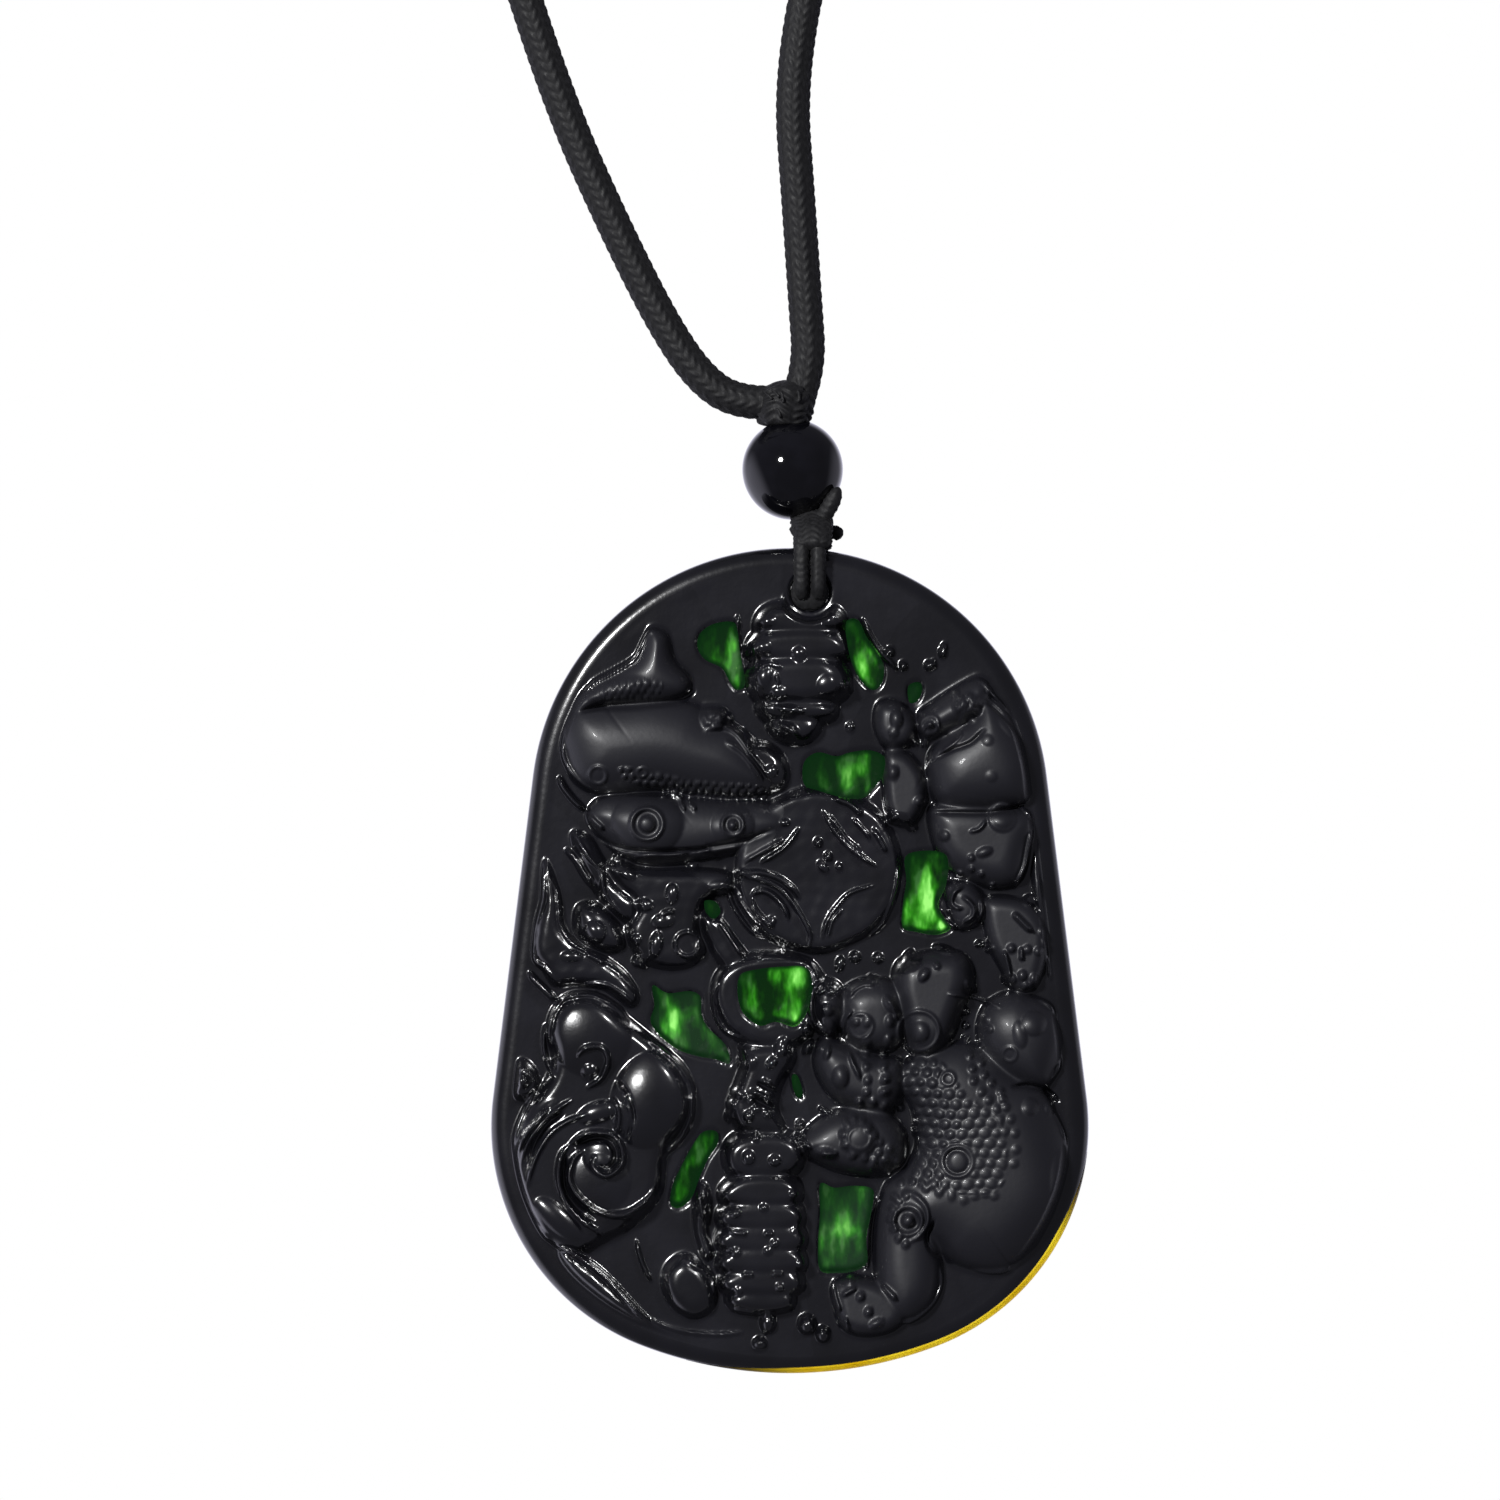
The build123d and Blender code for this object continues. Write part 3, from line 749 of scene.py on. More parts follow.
    def sleeve(self) -> None:
        """Make the sleeve under the bead, the cut end that leans on it and the small knot at its foot."""
        route = ((1.15, 0.0, -281.3), (1.5, 0.0, -282.0), (1.7, 0.0, -282.7), (1.6, 0.0, -283.15))
        sizes = {"fine_step": 0.05, "round_start": 0.35, "round_end": 0.45, "belly": 0.12}
        parts = [self.wound("sleeve", route, self.sleeve_radius, **sizes)]
        wrap = ((1.35, 0.3, -281.4), (1.55, 1.4, -282.4), (1.65, 2.6, -283.1), (1.6, 3.15, -284.2))
        for hand in (-1.0, 1.0):
            route = tuple((x, hand * out, z) for x, out, z in wrap)
            parts.append(self.wound("wrap", route, self.sleeve_radius, round_end=0.4, flatness=0.58))
        route = ((-0.75, 0.0, -274.9), (0.2, 0.0, -278.45), (1.15, 0.0, -282.0))
        parts.append(self.thin("bead_thread", route, self.inner_radius, depth=0.06, around=20))
        route = ((1.05, 0.0, -281.2), (1.2, 0.0, -281.7), (1.4, 0.0, -282.2))
        parts.append(self.wound("neck", route, self.neck_radius, columns=10, depth=0.1, around=48))
        route = (
            (1.6, -0.8, -283.0),
            (2.2, -1.3, -282.0),
            (2.75, -1.6, -281.2),
            (3.15, -1.75, -280.4),
            (3.45, -1.7, -279.75),
        )
        parts.append(self.thin("cut_end", route, self.end_radius, depth=0.1, round_end=1.3))
        route = (
            (0.5, -0.2, -282.6),
            (0.35, 0.3, -282.75),
            (1.3, 0.7, -282.8),
            (2.7, 0.6, -282.7),
            (3.75, 0.3, -283.05),
        )
        parts.append(self.thin("foot_knot", route, self.knot_radius, round_start=0.35, round_end=0.45))
        self.add("hanging_cord_sleeve", parts)


@dataclass
class Bead:
    """The round polished bead, drilled through along its leaning axis."""

    finish: Material
    radius: float = 3.55
    bore: float = 0.62
    mouth: float = 0.22
    lean: float = math.radians(15)
    centre: Point = (0.2, 0.0, -278.45)
    rows: int = 72
    around: int = 128

    def build(self) -> None:
        """Turn the bead from its profile."""
        opening = math.asin((self.bore + self.mouth) / self.radius)
        depth = self.radius * math.cos(opening) - self.mouth
        eased = (self.bore + 0.25 * self.mouth, depth + 0.6 * self.mouth)
        profile = [
            (self.radius * math.sin(turn), self.radius * math.cos(turn))
            for turn in np.linspace(opening, math.pi - opening, self.rows)
        ]
        profile += [(eased[0], -eased[1]), (self.bore, -depth), (self.bore, 0.0), (self.bore, depth), eased]
        shape = bmesh.new()
        corners = [shape.verts.new((out * MM, 0.0, up * MM)) for out, up in profile]
        lines = [shape.edges.new((corner, corners[index - 1])) for index, corner in enumerate(corners)]
        whole = {"axis": (0, 0, 1), "cent": (0, 0, 0), "steps": self.around, "angle": 2 * math.pi}
        bmesh.ops.spin(shape, geom=corners + lines, use_merge=True, **whole)
        bmesh.ops.remove_doubles(shape, verts=shape.verts, dist=0.0005 * MM)
        turned = Matrix.Rotation(-self.lean, 3, "Y")
        bmesh.ops.rotate(shape, verts=shape.verts, cent=(0, 0, 0), matrix=turned)
        bmesh.ops.translate(shape, verts=shape.verts, vec=Vector(self.centre) * MM)
        add_piece("polished_bead", to_solid(shape, "bead"), self.finish, Body.CORD, ("bead",))


@dataclass
class PlaqueOutline:
    """The plaque's outline: a round top, flat leaning sides, wide lower corners and a curved base."""

    height: float
    width: float
    top_radius: float = 18.2
    corner_radius: float = 16.5
    base_radius: float = 29.0
    samples: int = 150

    def points(self) -> tuple[Array, Array]:
        """Walk round the outline.

        Returns:
            Points across and down from the middle of the top, and the outward direction at each.
        """
        corner_x = self.width / 2 - self.corner_radius
        base_centre = -self.height + self.base_radius
        corner_v = base_centre - math.sqrt((self.base_radius - self.corner_radius) ** 2 - corner_x**2)
        top_centre = -self.top_radius
        drop = corner_v - top_centre
        reach = math.hypot(corner_x, drop)
        side = math.atan2(drop, corner_x) + math.acos((self.top_radius - self.corner_radius) / reach)
        below = math.atan2(base_centre - corner_v, corner_x)
        arcs = (
            ((-corner_x, corner_v), self.corner_radius, math.pi - side, math.pi + below),
            ((0.0, base_centre), self.base_radius, math.pi + below, 2 * math.pi - below),
            ((corner_x, corner_v), self.corner_radius, -below, side),
            ((0.0, top_centre), self.top_radius, side, math.pi - side),
        )
        found = []
        directions = []
        for centre, radius, start, end in arcs:
            angles = np.linspace(start, end, self.samples)
            direction = np.stack([np.cos(angles), np.sin(angles)], axis=1)
            here = np.array(centre) + radius * direction
            if found and np.linalg.norm(here[0] - found[-1][-1]) > 1.0:
                self.add_straight(found, directions, here[0])
            found.append(here)
            directions.append(direction)
        self.add_straight(found, directions, found[0][0])
        return np.concatenate(found), np.concatenate(directions)

    def add_straight(self, found: list[Array], directions: list[Array], goal: Array) -> None:
        """Add a straight side from the last point found to the goal, the next arc's first point."""
        share = np.linspace(0.0, 1.0, self.samples)[1:-1, None]
        found.append(found[-1][-1] * (1 - share) + goal * share)
        directions.append(np.repeat(directions[-1][-1:], len(share), axis=0))

    def single_points(self) -> tuple[Array, Array]:
        """Walk round the outline as points does, but leave doubled points out."""
        points, directions = self.points()
        keep = np.linalg.norm(np.diff(points, axis=0, append=points[:1]), axis=1) > 1e-4
        return points[keep], directions[keep]


class Motif(Enum):
    """The carved motifs, each made as its own piece of the relief."""

    TOAD_UPPER_LEFT = "toad_upper_left"
    TOAD_UPPER_RIGHT = "toad_upper_right"
    TOAD_LOWER_RIGHT = "toad_lower_right"
    STACK_TOP = "coin_stack_top"
    STACK_BOTTOM = "coin_stack_bottom"
    COIN_MIDDLE = "coin_middle"
    FLAME_LEFT = "flame_left"
    CLOUD_LOWER_LEFT = "cloud_lower_left"


class Pillow(NamedTuple):
    """A raised form with a rounded edge; its outline is a smooth closed curve through the points."""

    height: float
    edge: float
    outline: Outline


class Bump(NamedTuple):
    """A rounded bump on what lies under it; turn is in degrees, towards the lower right."""

    x: float
    y: float
    long: float
    wide: float
    height: float
    turn: float = 0.0


class Line(NamedTuple):
    """A raised line, or with a negative height a groove, that fades out at its ends."""

    width: float
    height: float
    route: Outline


class Ring(NamedTuple):
    """A raised ring, with a round pupil in it where the pupil's radius is not zero."""

    x: float
    y: float
    radius: float
    width: float
    height: float
    pupil: float = 0.0


class Skin(NamedTuple):
    """A patch of close round grains; pitch is the distance from one grain to the next."""

    pitch: float
    radius: float
    height: float
    outline: Outline


class Window(NamedTuple):
    """An opening in the stone with a thin green floor at the back; glow is its light, and the other number
    a pale milky tone that partly stands in for painted reflection.
    """

    glow: float
    haze: float
    outline: Outline


# The carving's outlines are placed in steps, to the right and down. A step is one pixel of the
# photograph, which is 1500 pixels wide and high. MIDDLE and TOP are the plaque's middle and top in steps.
PLAQUE_HEIGHT = 58.0
STEPS_HIGH = 824.0
STEP = PLAQUE_HEIGHT / STEPS_HIGH
MIDDLE = 790.0
TOP = 548.0

# A distance over all others, and the angle from which an edge stays sharp
FAR = 1e9
SHARP = math.radians(50)

# Places of each motif's seeds, as pairs of steps across and down; a face goes to the nearest seed

SEEDS = {
    Motif.TOAD_UPPER_LEFT: (600, 720, 660, 690, 650, 790, 700, 760, 660, 830, 720, 830, 600, 800),
    Motif.TOAD_UPPER_RIGHT: (930, 720, 985, 740, 1000, 800, 900, 760, 1020, 870, 960, 830, 985, 940),
    Motif.TOAD_LOWER_RIGHT: (880, 1030, 960, 1020, 1030, 1040, 850, 1080, 860, 1140, 940, 1120, 1030, 1150,
        920, 1210, 1000, 1220, 900, 1290, 850, 1320, 980, 1300),
    Motif.STACK_TOP: (800, 600, 800, 650, 795, 700, 795, 740),
    Motif.STACK_BOTTOM: (760, 1100, 760, 1160, 760, 1220, 760, 1280, 770, 1330, 700, 1270),
    Motif.COIN_MIDDLE: (818, 869, 770, 900, 870, 850, 770, 960, 770, 1030, 820, 940, 870, 920),
    Motif.FLAME_LEFT: (560, 900, 600, 930, 660, 910, 690, 950, 560, 850, 640, 960),
    Motif.CLOUD_LOWER_LEFT: (590, 1040, 660, 1090, 540, 1110, 600, 1150, 560, 1220, 620, 1270, 640, 1190,
        530, 1010),
}

# Height in millimetres, width of the rounded edge and outline of each main form
PILLOWS = tuple(Pillow(*row) for row in (
    (1.7, 26, (650, 628, 668, 634, 676, 660, 692, 680, 684, 698, 640, 704, 600, 708, 572, 722, 575, 702,
        592, 685, 613, 673, 634, 660, 642, 646)),
    (2.5, 52, (563, 744, 566, 722, 578, 706, 612, 700, 655, 696, 692, 702, 716, 716, 740, 727, 758, 745,
        772, 772, 780, 790, 742, 797, 700, 794, 660, 790, 620, 794, 592, 792, 572, 776)),
    (1.9, 30, (590, 806, 606, 795, 640, 793, 682, 796, 722, 800, 758, 800, 784, 808, 794, 826, 774, 842,
        742, 852, 702, 860, 660, 866, 626, 858, 602, 838, 588, 820)),
    (1.3, 20, (690, 712, 706, 706, 724, 708, 734, 722, 724, 738, 700, 738, 688, 728)),
    (1.3, 16, (572, 832, 590, 836, 604, 858, 618, 880, 640, 900, 634, 922, 612, 912, 596, 892, 580, 864)),
    (1.2, 14, (606, 862, 640, 866, 690, 868, 728, 872, 734, 890, 706, 900, 700, 930, 706, 950, 690, 966,
        664, 968, 640, 958, 626, 930, 636, 904, 616, 884)),
    (1.1, 14, (544, 858, 554, 872, 562, 902, 565, 925, 580, 942, 604, 954, 626, 972, 640, 994, 632, 1006,
        606, 988, 578, 984, 556, 984, 544, 968, 534, 954, 535, 928, 543, 900)),
    (1.5, 18, (578, 905, 600, 903, 618, 920, 626, 944, 612, 952, 590, 946, 576, 930)),
    (1.3, 12, (508, 1062, 524, 1058, 536, 1068, 540, 1084, 530, 1098, 514, 1096, 506, 1080)),
    (1.5, 16, (552, 1012, 566, 995, 584, 991, 606, 997, 628, 1016, 650, 1034, 676, 1058, 690, 1080,
        695, 1104, 688, 1126, 668, 1150, 664, 1184, 652, 1206, 630, 1226, 604, 1240, 578, 1252, 548, 1240,
        526, 1220, 514, 1190, 510, 1158, 516, 1130, 530, 1100, 548, 1076, 553, 1052, 548, 1032)),
    (1.0, 12, (560, 1246, 580, 1254, 612, 1280, 650, 1318, 680, 1336, 640, 1326, 600, 1302, 566, 1272)),
    (2.1, 22, (788, 590, 806, 588, 818, 598, 815, 612, 790, 613, 782, 602)),
    (1.9, 13, (756, 616, 776, 603, 822, 602, 844, 614, 842, 632, 800, 640, 758, 634)),
    (2.2, 15, (748, 640, 770, 626, 826, 625, 850, 640, 848, 660, 798, 668, 750, 660)),
    (2.5, 20, (746, 672, 768, 652, 822, 650, 848, 668, 850, 692, 828, 706, 772, 708, 750, 694)),
    (2.1, 15, (756, 704, 776, 694, 820, 696, 838, 708, 828, 722, 776, 724, 760, 716)),
    (1.7, 12, (768, 720, 800, 712, 822, 722, 812, 740, 790, 744, 772, 734)),
    (1.2, 12, (738, 750, 760, 742, 780, 752, 790, 772, 782, 790, 764, 786, 748, 768)),
    (1.5, 14, (876, 706, 892, 700, 908, 708, 918, 728, 908, 746, 886, 748, 874, 730)),
    (1.3, 12, (884, 752, 906, 752, 924, 772, 926, 800, 910, 826, 888, 818, 882, 786)),
    (1.9, 20, (918, 714, 934, 702, 956, 688, 978, 678, 992, 690, 984, 712, 954, 730, 928, 740, 916, 728)),
    (2.75, 44, (926, 762, 940, 738, 966, 718, 982, 694, 1000, 704, 1018, 720, 1032, 740, 1040, 766,
        1036, 788, 1026, 804, 994, 812, 958, 812, 932, 798)),
    (1.9, 26, (930, 806, 960, 800, 1000, 804, 1026, 810, 1036, 824, 1030, 848, 1020, 880, 998, 888,
        966, 880, 942, 862, 930, 834)),
    (1.1, 10, (1036, 836, 1046, 842, 1046, 872, 1044, 892, 1060, 930, 1054, 944, 1040, 916, 1032, 884,
        1034, 856)),
    (1.3, 14, (982, 900, 1010, 896, 1034, 906, 1048, 930, 1046, 960, 1036, 986, 1014, 990, 1000, 968,
        986, 940)),
    (1.4, 18, (944, 884, 968, 880, 984, 896, 984, 918, 964, 930, 952, 922, 946, 904)),
    (1.2, 9, (736, 868, 738, 848, 750, 822, 772, 802, 800, 790, 832, 788, 862, 800, 884, 818, 898, 846,
        900, 876, 892, 906, 872, 930, 846, 944, 818, 952, 788, 946, 760, 932, 744, 910, 736, 890)),
    (1.0, 10, (700, 915, 716, 914, 736, 938, 752, 962, 742, 972, 722, 966, 706, 940)),
    (1.35, 12, (712, 990, 720, 968, 744, 954, 776, 950, 806, 956, 824, 976, 826, 1004, 816, 1028, 796, 1044,
        764, 1048, 734, 1036, 718, 1016)),
    (1.9, 16, (812, 988, 824, 978, 838, 982, 846, 998, 844, 1018, 834, 1034, 818, 1030, 810, 1010)),
    (2.2, 26, (842, 990, 862, 978, 888, 978, 904, 992, 908, 1020, 900, 1044, 880, 1052, 856, 1048,
        842, 1028, 838, 1006)),
    (1.9, 22, (824, 1036, 850, 1044, 880, 1054, 902, 1060, 904, 1092, 888, 1112, 858, 1108, 832, 1096,
        816, 1072, 814, 1050)),
    (2.3, 22, (898, 960, 930, 950, 962, 952, 974, 974, 966, 1000, 950, 1040, 930, 1056, 910, 1050,
        900, 1020, 892, 986)),
    (2.1, 24, (794, 1146, 806, 1128, 828, 1112, 858, 1106, 888, 1112, 906, 1134, 904, 1160, 880, 1174,
        846, 1172, 816, 1160)),
    (2.95, 62, (904, 1062, 930, 1046, 962, 1040, 992, 1050, 1018, 1070, 1042, 1086, 1056, 1112, 1067, 1142,
        1073, 1176, 1069, 1204, 1058, 1223, 1044, 1240, 1027, 1257, 1010, 1267, 990, 1270, 968, 1267,
        948, 1259, 932, 1246, 904, 1244, 884, 1232, 878, 1206, 886, 1180, 904, 1166, 916, 1140, 912, 1110,
        902, 1086)),
    (2.6, 40, (984, 1004, 1010, 990, 1034, 995, 1049, 1004, 1059, 1018, 1065, 1036, 1062, 1054, 1056, 1070,
        1044, 1088, 1014, 1082, 988, 1062, 976, 1032)),
    (2.2, 30, (880, 1200, 904, 1186, 930, 1196, 940, 1230, 942, 1270, 934, 1300, 912, 1318, 888, 1312,
        876, 1284, 874, 1240)),
    (1.5, 14, (832, 1282, 850, 1274, 878, 1278, 898, 1292, 906, 1314, 890, 1330, 862, 1334, 842, 1326,
        834, 1306)),
    (1.5, 14, (740, 1044, 764, 1040, 788, 1040, 796, 1056, 782, 1084, 778, 1108, 786, 1130, 764, 1136,
        738, 1128, 728, 1106, 736, 1080, 742, 1062)),
    (1.8, 14, (722, 1150, 736, 1132, 768, 1126, 796, 1134, 806, 1152, 796, 1172, 764, 1180, 730, 1174)),
    (2.0, 11, (720, 1186, 744, 1170, 784, 1170, 802, 1184, 798, 1202, 762, 1208, 724, 1202)),
    (2.0, 11, (718, 1208, 742, 1196, 786, 1196, 804, 1208, 800, 1226, 762, 1232, 722, 1226)),
    (2.0, 11, (717, 1230, 742, 1218, 788, 1218, 806, 1230, 802, 1248, 762, 1254, 720, 1248)),
    (2.0, 11, (718, 1252, 742, 1240, 788, 1240, 806, 1252, 802, 1270, 762, 1275, 721, 1270)),
    (1.9, 11, (720, 1273, 744, 1262, 788, 1262, 804, 1274, 800, 1290, 762, 1296, 724, 1290)),
    (1.7, 10, (726, 1294, 746, 1284, 784, 1284, 796, 1294, 790, 1308, 760, 1312, 732, 1306)),
    (1.4, 16, (668, 1262, 686, 1252, 706, 1264, 716, 1284, 714, 1306, 694, 1316, 672, 1304, 662, 1282)),
    (1.0, 12, (696, 1186, 708, 1184, 712, 1206, 708, 1230, 716, 1252, 704, 1256, 694, 1226)),
))

# Place, half length, half width, height and turn of each bump
BUMPS = tuple(Bump(*row) for row in (
    (648, 822, 36, 34, 0.75), (733, 825, 22, 21, 0.45), (713, 720, 13, 11, 0.5),
    (620, 690, 34, 12, 0.35, -12), (592, 1034, 40, 40, 0.75), (652, 1097, 40, 50, 1.0, 20),
    (606, 1152, 22, 22, 0.55), (598, 1180, 34, 30, 0.35), (560, 1216, 30, 13, 0.5, 42),
    (591, 1070, 9, 9, 0.35), (524, 1079, 13, 13, 0.4), (599, 1110, 22, 11, 0.5, -18),
    (540, 1120, 30, 8, 0.3, -52), (596, 931, 12, 12, 0.5), (573, 955, 12, 6, 0.3), (645, 904, 10, 7, 0.4),
    (657, 943, 7, 14, 0.5, 10), (673, 893, 7, 11, 0.45), (619, 858, 6, 6, 0.3), (628, 869, 8, 12, 0.4, -35),
    (694, 866, 7, 6, 0.3), (664, 920, 12, 8, 0.4, -10), (640, 960, 8, 7, 0.35), (637, 939, 6, 6, 0.3),
    (645, 964, 5, 5, 0.25), (720, 886, 12, 7, 0.3), (802, 599, 7, 7, 0.3), (765, 622, 12, 6, 0.25),
    (806, 617, 12, 6, 0.3), (832, 622, 10, 7, 0.25), (762, 648, 10, 8, 0.3), (799, 655, 8, 8, 0.35),
    (762, 676, 10, 14, 0.3), (779, 694, 9, 8, 0.35), (828, 686, 12, 12, 0.3), (789, 709, 10, 5, 0.25),
    (790, 730, 12, 7, 0.35, 30), (772, 771, 7, 7, 0.35), (842, 685, 5, 5, 0.2), (836, 707, 5, 5, 0.25),
    (850, 727, 5, 5, 0.25), (890, 652, 5, 5, 0.6), (903, 666, 5, 5, 0.6), (928, 666, 5, 5, 0.6),
    (933, 664, 4, 4, 0.5), (942, 653, 5, 5, 0.6), (944, 647, 4, 4, 0.5), (896, 719, 7, 10, 0.5),
    (893, 732, 6, 6, 0.3), (892, 772, 7, 7, 0.4), (892, 818, 7, 7, 0.5), (920, 801, 7, 6, 0.4),
    (915, 742, 5, 5, 0.3), (924, 743, 5, 5, 0.3), (966, 706, 16, 13, 0.45), (1000, 816, 14, 14, 0.55),
    (986, 740, 6, 6, 0.15), (990, 776, 6, 6, 0.15), (1013, 730, 20, 8, 0.2, 40), (943, 835, 6, 6, 0.3),
    (912, 827, 6, 5, 0.3), (983, 851, 9, 5, 0.35, -20), (970, 857, 4, 4, 0.3), (970, 868, 4, 4, 0.3),
    (980, 873, 4, 4, 0.3), (991, 885, 4, 4, 0.4), (958, 873, 5, 4, 0.4), (1029, 900, 8, 7, 0.4),
    (1043, 930, 6, 6, 0.35), (979, 943, 5, 4, 0.5), (989, 948, 5, 5, 0.4), (1010, 947, 5, 5, 0.35),
    (1026, 948, 5, 5, 0.3), (1037, 950, 5, 5, 0.3), (1008, 978, 8, 7, 0.5), (1025, 986, 6, 6, 0.4),
    (1033, 979, 5, 8, 0.4), (1021, 974, 5, 6, 0.35), (818, 842, 5, 5, 0.55), (828, 856, 5, 5, 0.5),
    (823, 866, 8, 5, 0.4, 45), (839, 866, 4, 4, 0.35), (772, 920, 5, 5, 0.3), (785, 822, 6, 4, 0.4),
    (782, 1045, 8, 11, 0.5, 30), (772, 1061, 8, 5, 0.4, -45), (747, 1060, 11, 8, 0.35),
    (736, 1090, 6, 5, 0.4), (744, 1095, 4, 4, 0.3), (751, 1098, 4, 4, 0.3), (731, 1102, 5, 5, 0.4),
    (729, 1115, 5, 7, 0.4), (749, 1114, 6, 6, 0.45), (756, 1107, 6, 4, 0.3), (768, 1112, 5, 4, 0.3),
    (756, 1134, 5, 5, 0.35), (749, 1155, 7, 8, 0.4), (775, 1158, 7, 6, 0.4), (800, 1123, 5, 5, 0.5),
    (793, 1134, 9, 5, 0.4, 15), (824, 1150, 10, 6, 0.45), (840, 1075, 9, 12, 0.5), (819, 1046, 5, 5, 0.4),
    (807, 1029, 5, 8, 0.5, -25), (808, 1046, 5, 9, 0.5, 30), (827, 1008, 7, 7, 0.45),
    (827, 1050, 4, 8, 0.4, 15), (855, 1020, 5, 5, 0.3), (866, 1020, 5, 6, 0.3), (866, 1040, 6, 7, 0.35),
    (889, 1002, 6, 10, 0.45, -30), (889, 1019, 5, 7, 0.35), (888, 1040, 5, 8, 0.35),
    (884, 1060, 5, 7, 0.35), (886, 1074, 5, 6, 0.3), (886, 1088, 5, 5, 0.35), (872, 1100, 5, 5, 0.35),
    (859, 1101, 5, 5, 0.35), (918, 1030, 11, 11, 0.5), (943, 948, 12, 5, 0.45, 15),
    (908, 955, 5, 9, 0.45, 35), (923, 973, 5, 8, 0.45, 35), (936, 964, 4, 4, 0.35),
    (970, 985, 5, 9, 0.4, -40), (855, 956, 6, 6, 0.5), (840, 963, 5, 9, 0.4, 10), (878, 957, 6, 6, 0.35),
    (872, 978, 6, 6, 0.35), (1032, 1021, 13, 13, 0.45), (1018, 1032, 7, 14, 0.3, -10),
    (1029, 1104, 9, 9, 0.35), (1049, 1106, 6, 7, 0.3), (859, 1135, 19, 19, 0.75),
    (1060, 1180, 12, 34, 0.25), (850, 1277, 5, 5, 0.4), (860, 1293, 5, 5, 0.4), (868, 1308, 5, 5, 0.4),
    (876, 1320, 9, 5, 0.4, -25), (768, 1320, 9, 12, 1.0), (807, 1322, 10, 11, 1.0), (760, 1342, 8, 8, 0.7),
    (823, 1332, 8, 9, 0.8), (736, 1210, 6, 5, 0.35), (736, 1248, 6, 5, 0.35), (738, 1288, 6, 5, 0.35),
    (775, 1240, 5, 5, 0.3), (768, 1247, 5, 4, 0.25), (780, 1284, 5, 5, 0.3), (797, 1225, 6, 5, 0.3),
    (802, 1262, 6, 7, 0.3), (794, 1191, 5, 5, 0.3), (764, 1204, 5, 4, 0.3),
))

